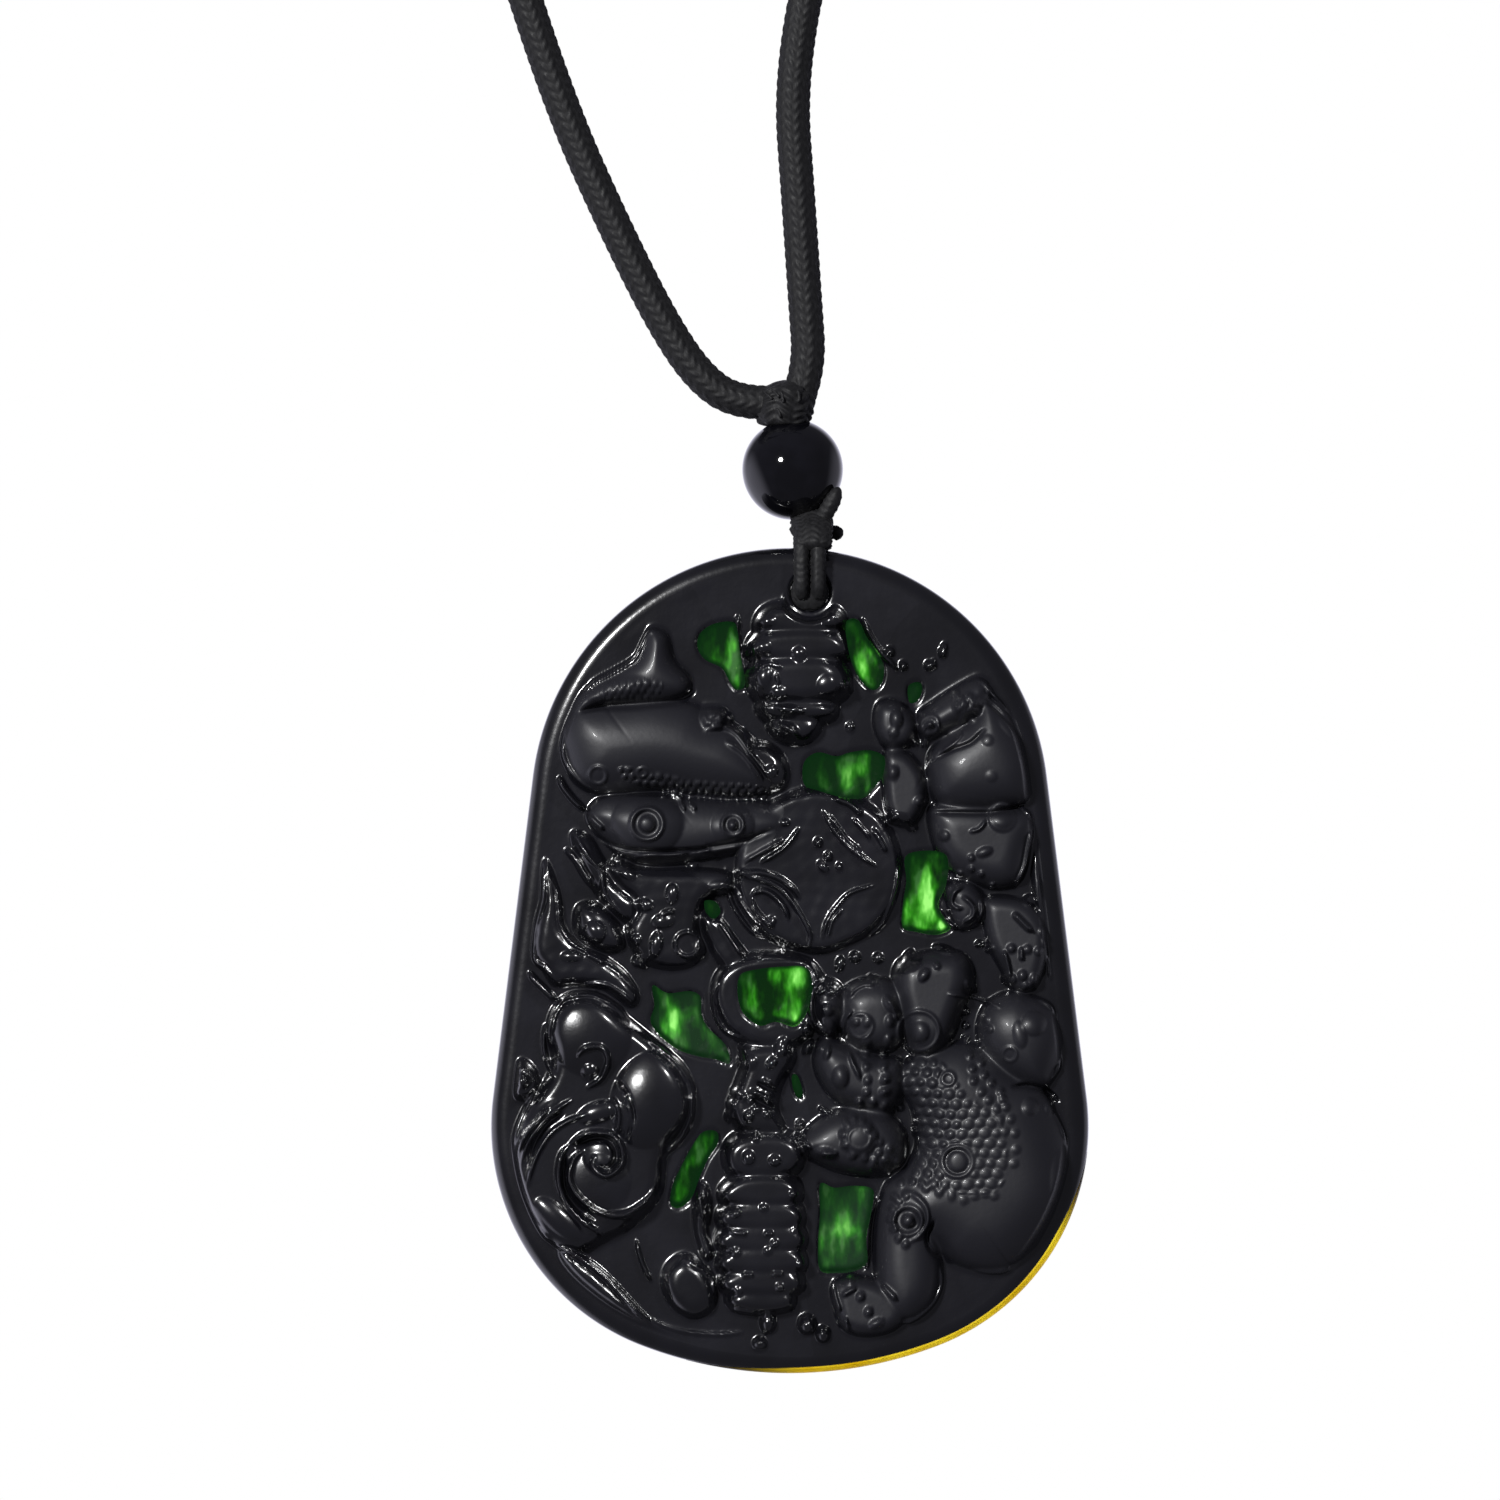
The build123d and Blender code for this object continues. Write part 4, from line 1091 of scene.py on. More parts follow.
# Width, height and route of each line, of which the sunk ones have a negative height
LINES = tuple(Line(*row) for row in (
    (5, 0.35, (660, 629, 648, 634, 642, 646, 634, 660, 613, 673, 592, 685, 575, 702, 566, 722, 563, 744,
        567, 763, 578, 779, 594, 792)),
    (7, -0.4, (582, 712, 604, 706, 640, 704, 676, 700, 696, 690)),
    (4, 0.3, (703, 731, 722, 727, 737, 734, 750, 752, 762, 767, 774, 783)),
    (4, 0.25, (725, 741, 742, 752, 756, 770, 764, 782)), (5, 0.35, (660, 796, 672, 794, 686, 799)),
    (4, 0.3, (680, 801, 686, 809)), (4, 0.3, (688, 802, 697, 809)),
    (5, -0.35, (598, 836, 624, 848, 660, 850, 700, 848, 740, 840, 776, 828)),
    (4, 0.3, (634, 856, 655, 854, 674, 854, 692, 850)), (4, 0.25, (700, 850, 722, 848, 742, 846)),
    (6, 0.55, (560, 776, 564, 786, 574, 799, 586, 810)), (5, 0.4, (590, 815, 597, 822, 605, 829)),
    (4, 0.3, (577, 834, 584, 847, 592, 859, 602, 871, 605, 889, 613, 904, 627, 917)),
    (6, 0.5, (566, 848, 576, 858, 584, 872, 594, 886)),
    (5, 0.35, (544, 859, 544, 878, 544, 899, 536, 925, 534, 945, 536, 959, 546, 967, 559, 983)),
    (4, 0.3, (552, 877, 558, 889, 560, 906, 562, 925, 575, 943, 599, 955, 623, 971, 639, 992)),
    (4, 0.35, (586, 952, 596, 957, 606, 963)), (6, 0.55, (527, 969, 534, 977, 545, 988, 558, 1001)),
    (5, 0.35, (662, 914, 668, 911, 675, 911)), (5, 0.5, (717, 916, 724, 926, 731, 937, 744, 957)),
    (4, 0.3, (584, 983, 606, 983, 622, 992, 634, 1003)),
    (5, 0.45, (553, 1048, 550, 1034, 553, 1014, 560, 1002, 567, 996, 582, 993, 596, 994, 610, 1001,
        622, 1010, 630, 1021)),
    (4, 0.3, (546, 1022, 545, 1045, 549, 1062, 557, 1077)),
    (5, 0.45, (579, 1056, 581, 1051, 587, 1046, 597, 1044, 605, 1047, 609, 1056, 607, 1067, 601, 1077,
        588, 1086)),
    (5, 0.5, (646, 1036, 662, 1047, 676, 1059, 686, 1072, 692, 1086, 693, 1102, 690, 1119, 682, 1135,
        670, 1148, 660, 1155)),
    (5, -0.45, (618, 1076, 626, 1088, 631, 1100, 634, 1114, 632, 1128, 626, 1140)),
    (4, 0.4, (622, 1083, 629, 1097, 633, 1112, 633, 1127, 627, 1139)),
    (4, 0.4, (614, 1095, 620, 1109, 619, 1125, 615, 1132)),
    (5, 0.55, (570, 1143, 581, 1134, 592, 1130, 604, 1130, 613, 1132, 620, 1139, 624, 1149, 623, 1161,
        616, 1169, 607, 1173, 599, 1169, 594, 1161, 596, 1152)),
    (7, -0.4, (576, 1145, 586, 1139, 600, 1136, 611, 1139, 617, 1149, 616, 1159, 608, 1166, 600, 1162)),
    (5, 0.5, (586, 1146, 576, 1155, 572, 1164, 571, 1176, 577, 1189, 586, 1199, 597, 1207, 611, 1212,
        627, 1211, 641, 1203, 651, 1193, 656, 1183)),
    (5, 0.45, (571, 1142, 564, 1150, 561, 1160, 560, 1172, 562, 1186, 570, 1203, 581, 1215, 592, 1224,
        604, 1231)),
    (5, -0.35, (566, 1150, 565, 1172, 568, 1190, 580, 1206, 596, 1217)),
    (5, 0.5, (551, 1106, 543, 1113, 532, 1126, 524, 1138, 520, 1150)),
    (4, 0.35, (574, 1097, 560, 1106, 547, 1117, 534, 1133, 526, 1148, 523, 1163)),
    (4, 0.3, (590, 1111, 571, 1118, 553, 1130, 541, 1147, 533, 1166, 529, 1184)),
    (5, -0.3, (566, 1110, 548, 1122, 536, 1142, 530, 1164)),
    (4, 0.35, (541, 1077, 534, 1094, 524, 1112, 516, 1134, 513, 1156, 518, 1177, 527, 1200, 540, 1224)),
    (4, 0.4, (511, 1172, 514, 1184, 518, 1198, 522, 1208)),
    (6, 0.5, (519, 1204, 526, 1218, 533, 1230, 543, 1243)),
    (6, 0.5, (524, 1205, 532, 1218, 541, 1229, 552, 1239)),
    (6, 0.55, (556, 1242, 578, 1253, 599, 1268, 611, 1279, 625, 1294, 640, 1310, 652, 1321)),
    (3, 0.2, (648, 1314, 666, 1324, 690, 1330, 720, 1332, 744, 1330)),
    (4, 0.35, (637, 1238, 640, 1252, 645, 1266, 652, 1279)), (4, 0.3, (754, 644, 756, 656, 755, 668)),
    (4, 0.3, (758, 668, 770, 664, 782, 668)), (4, 0.3, (776, 674, 779, 685)),
    (3, 0.2, (820, 607, 838, 620, 848, 640, 852, 660)), (4, 0.25, (774, 706, 790, 710, 806, 711)),
    (5, 0.35, (779, 722, 788, 728, 797, 735)), (4, 0.25, (756, 686, 762, 702, 768, 712)),
    (4, 0.3, (842, 681, 845, 692)), (4, 0.3, (848, 681, 852, 692)),
    (6, 0.45, (738, 616, 737, 630, 740, 652)), (5, 0.6, (862, 619, 870, 636, 880, 652, 889, 661, 898, 671)),
    (5, 0.4, (975, 678, 984, 684, 992, 695, 1006, 708, 1018, 721, 1029, 735, 1036, 748, 1039, 766,
        1036, 783, 1030, 800)),
    (5, -0.3, (984, 700, 1000, 714, 1014, 730, 1020, 738)),
    (3, 0.25, (921, 731, 928, 724, 936, 724, 940, 732)), (3, 0.2, (940, 752, 950, 745, 958, 738, 962, 730)),
    (4, -0.3, (932, 760, 950, 750, 970, 742, 984, 728)),
    (5, -0.4, (930, 812, 956, 812, 990, 812, 1016, 806, 1030, 798)),
    (4, 0.35, (1016, 803, 1028, 813, 1033, 822, 1030, 834, 1027, 848, 1023, 867, 1013, 888)),
    (3, 0.25, (968, 831, 978, 828, 985, 819)),
    (3, 0.25, (1041, 834, 1043, 856, 1038, 876, 1040, 892, 1048, 910, 1056, 927, 1059, 944)),
    (4, 0.35, (963, 886, 955, 889, 951, 896, 951, 903, 956, 907, 962, 907)),
    (4, 0.35, (961, 895, 969, 901, 973, 908, 971, 916, 962, 921)),
    (4, 0.35, (980, 899, 981, 908, 979, 917)), (5, 0.5, (938, 909, 944, 919, 956, 928)),
    (6, 0.6, (1012, 912, 1020, 920, 1030, 930)), (4, 0.45, (1003, 949, 1006, 962, 1009, 976)),
    (4, 0.35, (1020, 946, 1020, 959)), (4, 0.3, (1041, 936, 1047, 954, 1050, 980)),
    (4, 0.3, (744, 861, 760, 852, 774, 844, 784, 839)), (4, 0.3, (760, 862, 776, 853, 788, 843, 800, 827)),
    (5, 0.35, (736, 880, 737, 871, 748, 872, 762, 872, 780, 878, 794, 889, 800, 898)),
    (4, 0.4, (736, 872, 748, 876, 760, 878, 780, 887, 793, 902, 804, 920, 810, 934, 809, 947)),
    (4, 0.4, (735, 884, 739, 898, 745, 908, 753, 918, 766, 930)),
    (4, 0.3, (727, 886, 732, 901, 740, 915, 751, 929, 764, 937)),
    (4, 0.4, (751, 895, 756, 891, 765, 890, 776, 897, 785, 908, 789, 919)),
    (4, 0.4, (752, 898, 756, 909, 764, 919, 775, 927)),
    (4, 0.4, (822, 810, 832, 827, 844, 842, 857, 853, 876, 866)),
    (3, 0.3, (829, 814, 836, 824, 848, 840, 862, 851)), (5, 0.4, (832, 797, 848, 803, 863, 815)),
    (3, 0.3, (852, 818, 861, 827, 870, 838)), (4, 0.35, (872, 828, 880, 840, 886, 852)),
    (3, 0.25, (822, 938, 826, 922, 836, 906, 850, 892, 874, 884)),
    (3, 0.25, (828, 936, 832, 920, 842, 908)),
    (4, 0.35, (898, 864, 896, 884, 890, 906, 881, 924, 868, 936)), (4, 0.3, (758, 958, 766, 951)),
    (4, 0.4, (719, 980, 714, 991, 714, 1006, 719, 1021, 729, 1032, 744, 1038)),
    (5, 0.45, (824, 978, 815, 986, 811, 998, 811, 1010, 815, 1021, 826, 1032, 834, 1031)),
    (4, 0.35, (816, 992, 823, 989, 826, 980)), (4, 0.3, (832, 993, 826, 989)),
    (4, 0.4, (852, 1008, 845, 1017, 843, 1027, 844, 1036)),
    (4, 0.3, (848, 996, 854, 988, 864, 983, 874, 984)), (4, 0.3, (886, 996, 893, 1006, 896, 1018)),
    (4, 0.35, (848, 1050, 853, 1062, 860, 1076)), (4, 0.3, (818, 1106, 826, 1110, 832, 1113)),
    (4, 0.35, (750, 1088, 764, 1094, 778, 1102)), (4, -0.3, (752, 1096, 764, 1102, 776, 1109)),
    (4, -0.3, (756, 1080, 768, 1086, 780, 1092)), (4, 0.25, (762, 1078, 772, 1082)),
    (4, 0.3, (792, 1134, 800, 1136, 812, 1147)), (4, 0.35, (820, 1150, 830, 1151, 838, 1150)),
    (4, 0.3, (792, 1072, 797, 1082, 802, 1097)), (3, 0.25, (946, 992, 972, 996, 1000, 1006)),
    (5, 0.35, (1034, 995, 1049, 1004, 1059, 1018, 1065, 1036, 1063, 1053, 1057, 1068, 1050, 1080)),
    (5, -0.4, (1010, 1084, 1030, 1084, 1046, 1090, 1058, 1100)),
    (5, 0.35, (1053, 1108, 1064, 1134, 1070, 1156, 1073, 1178, 1068, 1206, 1058, 1222, 1044, 1240,
        1027, 1257, 1010, 1267, 992, 1270, 970, 1268)),
    (5, -0.3, (944, 1256, 930, 1246, 926, 1232, 934, 1216)),
    (4, 0.35, (906, 1188, 918, 1195, 926, 1206, 926, 1220, 918, 1232, 908, 1238)),
    (4, 0.3, (940, 1262, 941, 1282, 932, 1302, 912, 1318, 896, 1320)),
    (5, 0.4, (833, 1282, 835, 1294, 840, 1309)), (4, 0.4, (845, 1314, 848, 1328)),
    (4, 0.3, (842, 1292, 848, 1288, 856, 1284)), (5, 0.5, (881, 1281, 888, 1288, 896, 1296)),
    (4, 0.3, (680, 1258, 686, 1255, 694, 1262, 706, 1269, 713, 1276, 716, 1293)),
    (5, 0.4, (699, 1188, 701, 1202, 705, 1218)), (4, 0.3, (726, 1226, 736, 1229, 748, 1230)),
    (4, 0.3, (742, 1271, 754, 1271)), (4, 0.25, (764, 1230, 774, 1230)), (4, 0.25, (772, 1270, 784, 1270)),
    (4, 0.35, (730, 1306, 744, 1309, 756, 1310)), (5, 0.5, (875, 1196, 870, 1214, 867, 1236, 867, 1266)),
))

# Place, radius, width, height and pupil of each ring
RINGS = tuple(Ring(*row) for row in (
    (648, 823, 15.5, 4.5, 0.35, 8), (733, 824, 10.5, 3.5, 0.3, 5), (599, 775, 8.5, 3.5, 0.2),
    (643, 772, 4.5, 2.5, 0.2), (688, 943, 12, 3.5, 0.35), (956, 1158, 15, 4, 0.35, 10.5),
    (907, 1217, 14, 4, 0.35, 6.5), (859, 1135, 11, 3, 0.15), (918, 1029, 20, 4, 0.25),
    (929, 725, 9, 3.5, 0.2, 3), (860, 1024, 12, 3, 0.2), (1001, 817, 13, 3, 0.12),
    (524, 1079, 13, 4, 0.2, 6), (947, 1076, 6, 3, 0.25), (1008, 1052, 7, 3, 0.15),
))

# Rows of small round warts
DOTS = (
    (965, 1010, 965, 1024, 965, 1038, 969, 1053, 971, 1066, 972, 1078, 980, 1089, 987, 1097, 995, 1106,
        998, 1116, 1003, 1128),
    (984, 1017, 988, 1027, 979, 1044, 980, 1060, 983, 1072, 990, 1080, 999, 1089, 1001, 1096, 1004, 1104,
        1009, 1116, 1013, 1130, 1014, 1146, 1012, 1160),
    (866, 1052, 866, 1064, 867, 1078, 866, 1090, 858, 1100),
    (884, 1052, 883, 1066, 884, 1078, 882, 1090, 884, 1104, 900, 1106),
    (853, 1115, 862, 1118, 868, 1125, 874, 1133, 879, 1139, 878, 1150, 873, 1158, 864, 1155, 852, 1153,
        844, 1142, 842, 1131, 846, 1120),
    (889, 1146, 884, 1157, 872, 1164, 887, 1171, 898, 1160, 900, 1180, 894, 1194, 905, 1192),
    (912, 1178, 925, 1184, 938, 1188, 950, 1192, 962, 1196, 973, 1192, 984, 1190, 992, 1192),
    (955, 693, 960, 700, 958, 708, 964, 713, 970, 710, 973, 703, 968, 697, 963, 705, 976, 712, 970, 719,
        962, 720),
    (704, 716, 708, 722, 714, 724, 720, 722, 723, 716, 712, 714, 718, 714),
    (905, 1240, 898, 1234, 893, 1226, 890, 1216, 892, 1206, 898, 1198),
)

# Patches of grained skin
SKINS = tuple(Skin(*row) for row in (
    (11.5, 4.6, 0.28, (906, 1056, 920, 1050, 940, 1060, 956, 1082, 974, 1100, 996, 1114, 1004, 1136,
        1004, 1166, 996, 1186, 970, 1190, 936, 1186, 912, 1178, 916, 1150, 912, 1130, 914, 1106,
        904, 1086)),
    (8.5, 3.6, 0.26, (622, 766, 646, 770, 680, 778, 716, 783, 746, 784, 768, 788, 764, 798, 730, 797,
        690, 794, 654, 788, 624, 778)),
    (7.5, 3.0, 0.14, (602, 690, 620, 682, 650, 680, 664, 686, 656, 696, 630, 699, 606, 700)),
))

# Light, pale milky tone (partly painted reflection) and outline of each window
WINDOWS = tuple(Window(*row) for row in (
    (1.0, 0.04, (700, 634, 714, 624, 733, 622, 738, 632, 740, 650, 744, 672, 745, 686, 737, 690, 730, 682,
        722, 668, 706, 660, 698, 648)),
    (1.1, 0.02, (846, 622, 858, 620, 866, 636, 878, 654, 884, 668, 881, 684, 872, 690, 860, 680, 852, 664,
        847, 644)),
    (0.58, 0.03, (804, 762, 818, 752, 836, 756, 850, 752, 870, 750, 884, 757, 883, 774, 872, 790, 862, 798,
        842, 797, 818, 790, 804, 784)),
    (1.25, 0.0, (905, 856, 924, 850, 944, 853, 948, 866, 945, 886, 938, 904, 944, 918, 950, 928, 936, 934,
        916, 931, 902, 926, 903, 900, 906, 880)),
    (0.7, 0.02, (705, 900, 716, 901, 721, 911, 714, 918, 706, 911)),
    (1.4, 0.0, (740, 974, 756, 968, 784, 965, 806, 966, 812, 982, 810, 1000, 804, 1016, 794, 1025,
        776, 1020, 760, 1024, 744, 1012, 738, 994)),
    (1.05, 0.15, (653, 984, 668, 992, 690, 990, 701, 996, 702, 1014, 710, 1028, 726, 1044, 730, 1062,
        716, 1058, 698, 1055, 678, 1048, 660, 1034, 651, 1020, 655, 1004)),
    (0.4, 0.04, (792, 1074, 798, 1075, 803, 1092, 798, 1097, 793, 1087)),
    (0.78, 0.0, (694, 1142, 704, 1130, 717, 1130, 718, 1142, 708, 1158, 700, 1176, 692, 1196, 680, 1206,
        671, 1202, 673, 1184, 682, 1164)),
    (0.62, 0.18, (820, 1182, 834, 1186, 854, 1184, 873, 1188, 871, 1210, 866, 1236, 867, 1260, 855, 1269,
        836, 1271, 820, 1268, 818, 1242, 820, 1212)),
    (0.4, 0.05, (908, 686, 919, 682, 922, 690, 917, 701, 909, 702)),
))


def smooth_curve(route: Outline, closed: bool, steps: int = 6) -> Array:
    """Lay a smooth curve through points.

    Args:
        route: The points.
        closed: Whether the curve comes back to its start.
        steps: Points of the curve for each point of the route.

    Returns:
        Points of the curve.
    """
    points = np.array(route, float).reshape(-1, 2)
    if closed:
        framed = np.concatenate((points[-1:], points, points[:2]))
    else:
        framed = np.concatenate((2 * points[:1] - points[1:2], points, 2 * points[-1:] - points[-2:-1]))
    share = np.linspace(0.0, 1.0, steps, endpoint=False)[:, None]
    found = []
    for before, start, end, after in zip(framed[:-3], framed[1:-2], framed[2:-1], framed[3:]):
        straight = 2 * start + (end - before) * share
        bend = (2 * before - 5 * start + 4 * end - after) * share**2
        found.append(0.5 * (straight + bend + (3 * start - before - 3 * end + after) * share**3))
    curve = np.concatenate(found)
    return curve if closed else np.concatenate((curve, points[-1:]))


def distance_to(curve: Array, places: Array, closed: bool) -> tuple[Array, Array]:
    """Measure how far places are from a curve.

    Args:
        curve: Points of the curve.
        places: Places to measure from.
        closed: Whether the curve's last point joins its first.

    Returns:
        The distance of each place and how far along the curve its nearest point is, from 0 to 1.
    """
    starts = curve if closed else curve[:-1]
    ends = np.roll(curve, -1, axis=0) if closed else curve[1:]
    runs = ends - starts
    lengths = np.maximum(np.hypot(runs[:, 0], runs[:, 1]), 1e-6)
    before = np.concatenate(([0.0], np.cumsum(lengths)[:-1]))
    nearest = np.full(len(places), FAR)
    along = np.zeros(len(places))
    for start, run, length, travelled in zip(starts, runs, lengths, before):
        offset = places - start
        share = np.clip((offset @ run) / length**2, 0.0, 1.0)
        gap = np.hypot(offset[:, 0] - share * run[0], offset[:, 1] - share * run[1])
        closer = gap < nearest
        nearest = np.where(closer, gap, nearest)
        along = np.where(closer, travelled + share * length, along)
    return nearest, along / lengths.sum()


def soft_depth(curve: Array, places: Array, gap: Array) -> Array:
    """Measure how deep places lie in a closed curve, with no crease along its middle.

    Args:
        curve: Points of the curve.
        places: Places inside it.
        gap: Plain distance of each place from the curve.

    Returns:
        The depth of each place.
    """
    ends = np.roll(curve, -1, axis=0)
    pull = np.zeros(len(places))
    for middle, length in zip((curve + ends) / 2, np.linalg.norm(ends - curve, axis=1)):
        offset = places - middle
        pull += length / np.power(offset[:, 0] ** 2 + offset[:, 1] ** 2 + 2.0, 1.5)
    soft = 1.2 * math.sqrt(2.0) / np.sqrt(np.maximum(pull, 1e-9))
    return np.power(np.maximum(gap, 0.05) ** -4 + soft**-4, -0.25)


def inside_curve(curve: Array, places: Array) -> Array:
    """Tell which places are inside a closed curve, by counting crossings."""
    inside = np.zeros(len(places), bool)
    for start, end in zip(curve, np.roll(curve, -1, axis=0)):
        spans = (start[1] > places[:, 1]) != (end[1] > places[:, 1])
        rise = end[1] - start[1] if end[1] != start[1] else 1e-9
        crossing = start[0] + (places[:, 1] - start[1]) / rise * (end[0] - start[0])
        inside ^= spans & (places[:, 0] < crossing)
    return inside


def near(curve: Array, places: Array, margin: float) -> Array:
    """List the places in a curve's box, widened by a margin."""
    low = curve.min(axis=0) - margin
    high = curve.max(axis=0) + margin
    return np.nonzero(np.all((places > low) & (places < high), axis=1))[0]


def within(curve: Array, places: Array) -> Array:
    """List the places inside a closed curve."""
    chosen = near(curve, places, 1.0)
    return chosen[inside_curve(curve, places[chosen])]


@dataclass
class Carving:
    """The relief as heights over the plaque's face: pillows with bumps, lines, rings and grains on them."""

    places: Array
    soft_top: float = 2.4
    spare: float = 0.65
    ground: float = 0.03
    pillow_gain: float = 1.15
    pillow_power: float = 0.72
    bump_power: float = 0.8
    line_gain: float = 1.65
    line_half: float = 0.56
    fade_part: float = 0.16
    fade_power: float = 0.7
    rim_half: float = 0.6
    sunk_part: float = 0.5
    pupil_gain: float = 1.9
    skin_row: float = 0.87
    skin_sway: float = 0.9
    sway_lengths: Pair = (9.0, 11.0)
    grain_uneven: float = 0.16
    grain_turns: Pair = (3.7, 1.9)
    low_mark: float = 0.12
    mark_rise: Pair = (0.2, 0.5)
    fine_mark: float = 0.008
    broad_mark: float = 0.018
    ring_margin: float = 4.0
    dot_radius: float = 4.6
    dot_height: float = 0.3
    edge: float = 3.6
    edge_depth: float = 0.22
    heights: Array = field(init=False)

    def __post_init__(self) -> None:
        """Start from a hand-polished ground that is never quite flat."""
        x, y = self.places.T
        self.heights = self.ground * waver(x, 23.0, 1.3, y, 61.0) * np.sin(y / 31.0 + 0.7)

    def raise_pillows(self) -> None:
        """Raise the main forms, the highest of them winning where they meet."""
        for pillow in PILLOWS:
            curve = smooth_curve(pillow.outline, True)
            chosen = within(curve, self.places)
            gap, _ = distance_to(curve, self.places[chosen], True)
            depth = soft_depth(curve, self.places[chosen], gap)
            share = np.clip(self.pillow_gain * depth / pillow.edge, 0.0, 1.0)
            rise = pillow.height * np.power(1.0 - (1.0 - share) ** 2, self.pillow_power)
            self.heights[chosen] = np.maximum(self.heights[chosen], rise)

    def add_bump(self, bump: Bump) -> None:
        """Add one rounded bump."""
        offset = self.places - np.array([bump.x, bump.y])
        chosen = np.nonzero(np.all(np.abs(offset) < max(bump.long, bump.wide), axis=1))[0]
        turn = math.radians(bump.turn)
        along = offset[chosen, 0] * math.cos(turn) + offset[chosen, 1] * math.sin(turn)
        aside = offset[chosen, 1] * math.cos(turn) - offset[chosen, 0] * math.sin(turn)
        square = (along / bump.long) ** 2 + (aside / bump.wide) ** 2
        self.heights[chosen] += bump.height * np.power(np.clip(1.0 - square, 0.0, 1.0), self.bump_power)

    def add_line(self, line: Line) -> None:
        """Add one raised line or groove."""
        curve = smooth_curve(line.route, False)
        chosen = near(curve, self.places, line.width)
        gap, along = distance_to(curve, self.places[chosen], False)
        fade = np.clip(np.minimum(along, 1.0 - along) / self.fade_part, 0.0, 1.0) ** self.fade_power
        half = self.line_half * line.width * (0.5 + 0.5 * fade)
        self.heights[chosen] += self.line_gain * line.height * fade * hollow(gap / half)

    def add_ring(self, ring: Ring) -> None:
        """Add one raised ring with a sunk field, and its pupil."""
        gap = np.hypot(self.places[:, 0] - ring.x, self.places[:, 1] - ring.y)
        chosen = np.nonzero(gap < ring.radius + ring.width)[0]
        gap = gap[chosen]
        self.heights[chosen] += ring.height * hollow((gap - ring.radius) / (self.rim_half * ring.width))
        if ring.pupil:
            sunk = 1.0 - smooth_step(gap, ring.radius - ring.width, ring.radius)
            self.heights[chosen] -= self.sunk_part * ring.height * sunk
            self.heights[chosen] += self.pupil_gain * ring.height * np.sqrt(hollow(gap / ring.pupil))

    def add_skin(self, skin: Skin) -> None:
        """Cover a patch with close round grains in staggered rows."""
        chosen = within(smooth_curve(skin.outline, True), self.places)
        x, y = self.places[chosen].T
        x = x + self.skin_sway * np.sin(y / self.sway_lengths[0])
        y = y + self.skin_sway * np.sin(x / self.sway_lengths[1])
        row = np.rint(y / (self.skin_row * skin.pitch))
        aside = x - skin.pitch * 0.5 * np.mod(row, 2.0)
        column = np.rint(aside / skin.pitch)
        gap = np.hypot(aside - column * skin.pitch, y - row * self.skin_row * skin.pitch)
        turn = column * self.grain_turns[0] + row * self.grain_turns[1]
        size = skin.radius * (1.0 + self.grain_uneven * np.sin(turn))
        for ring in RINGS:
            away = np.hypot(self.places[chosen, 0] - ring.x, self.places[chosen, 1] - ring.y)
            gap = np.where(away < ring.radius + self.ring_margin, FAR, gap)
        self.heights[chosen] += skin.height * np.sqrt(hollow(gap / size))

    def round_openings(self) -> None:
        """Round the stone's edge over at each window."""
        for window in WINDOWS:
            curve = smooth_curve(window.outline, True)
            chosen = near(curve, self.places, self.edge)
            gap, _ = distance_to(curve, self.places[chosen], True)
            self.heights[chosen] -= self.edge_depth * np.clip(1.0 - gap / self.edge, 0.0, 1.0) ** 2

    def add_tool_marks(self, smooth_share: Array) -> None:
        """Ruffle the surface with the small hollows of a carver's wheel, less where the share is near 1."""
        x, y = self.places.T
        fine = waver(x, 3.1, 2.1, y, 17.0) * waver(y, 2.7, 1.8, x, 13.0)
        broad = waver(x + y, 5.3, 1.5, y, 11.0) * waver(x - y, 6.1, 1.2, x, 19.0)
        low_part = self.low_mark + (1.0 - self.low_mark) * smooth_step(self.heights, *self.mark_rise)
        marks = self.fine_mark * fine + self.broad_mark * broad
        self.heights += (1.0 - smooth_share) * low_part * marks

    def carve(self) -> None:
        """Add all the detail on the pillows."""
        for bump in BUMPS:
            self.add_bump(bump)
        for line in LINES:
            self.add_line(line)
        for ring in RINGS:
            self.add_ring(ring)
        for row in DOTS:
            for x, y in zip(row[::2], row[1::2]):
                self.add_bump(Bump(x, y, self.dot_radius, self.dot_radius, self.dot_height))
        for skin in SKINS:
            self.add_skin(skin)
        self.round_openings()
        over = np.maximum(self.heights - self.soft_top, 0.0)
        self.heights = np.minimum(self.heights, self.soft_top) + self.spare * np.tanh(over / self.spare)


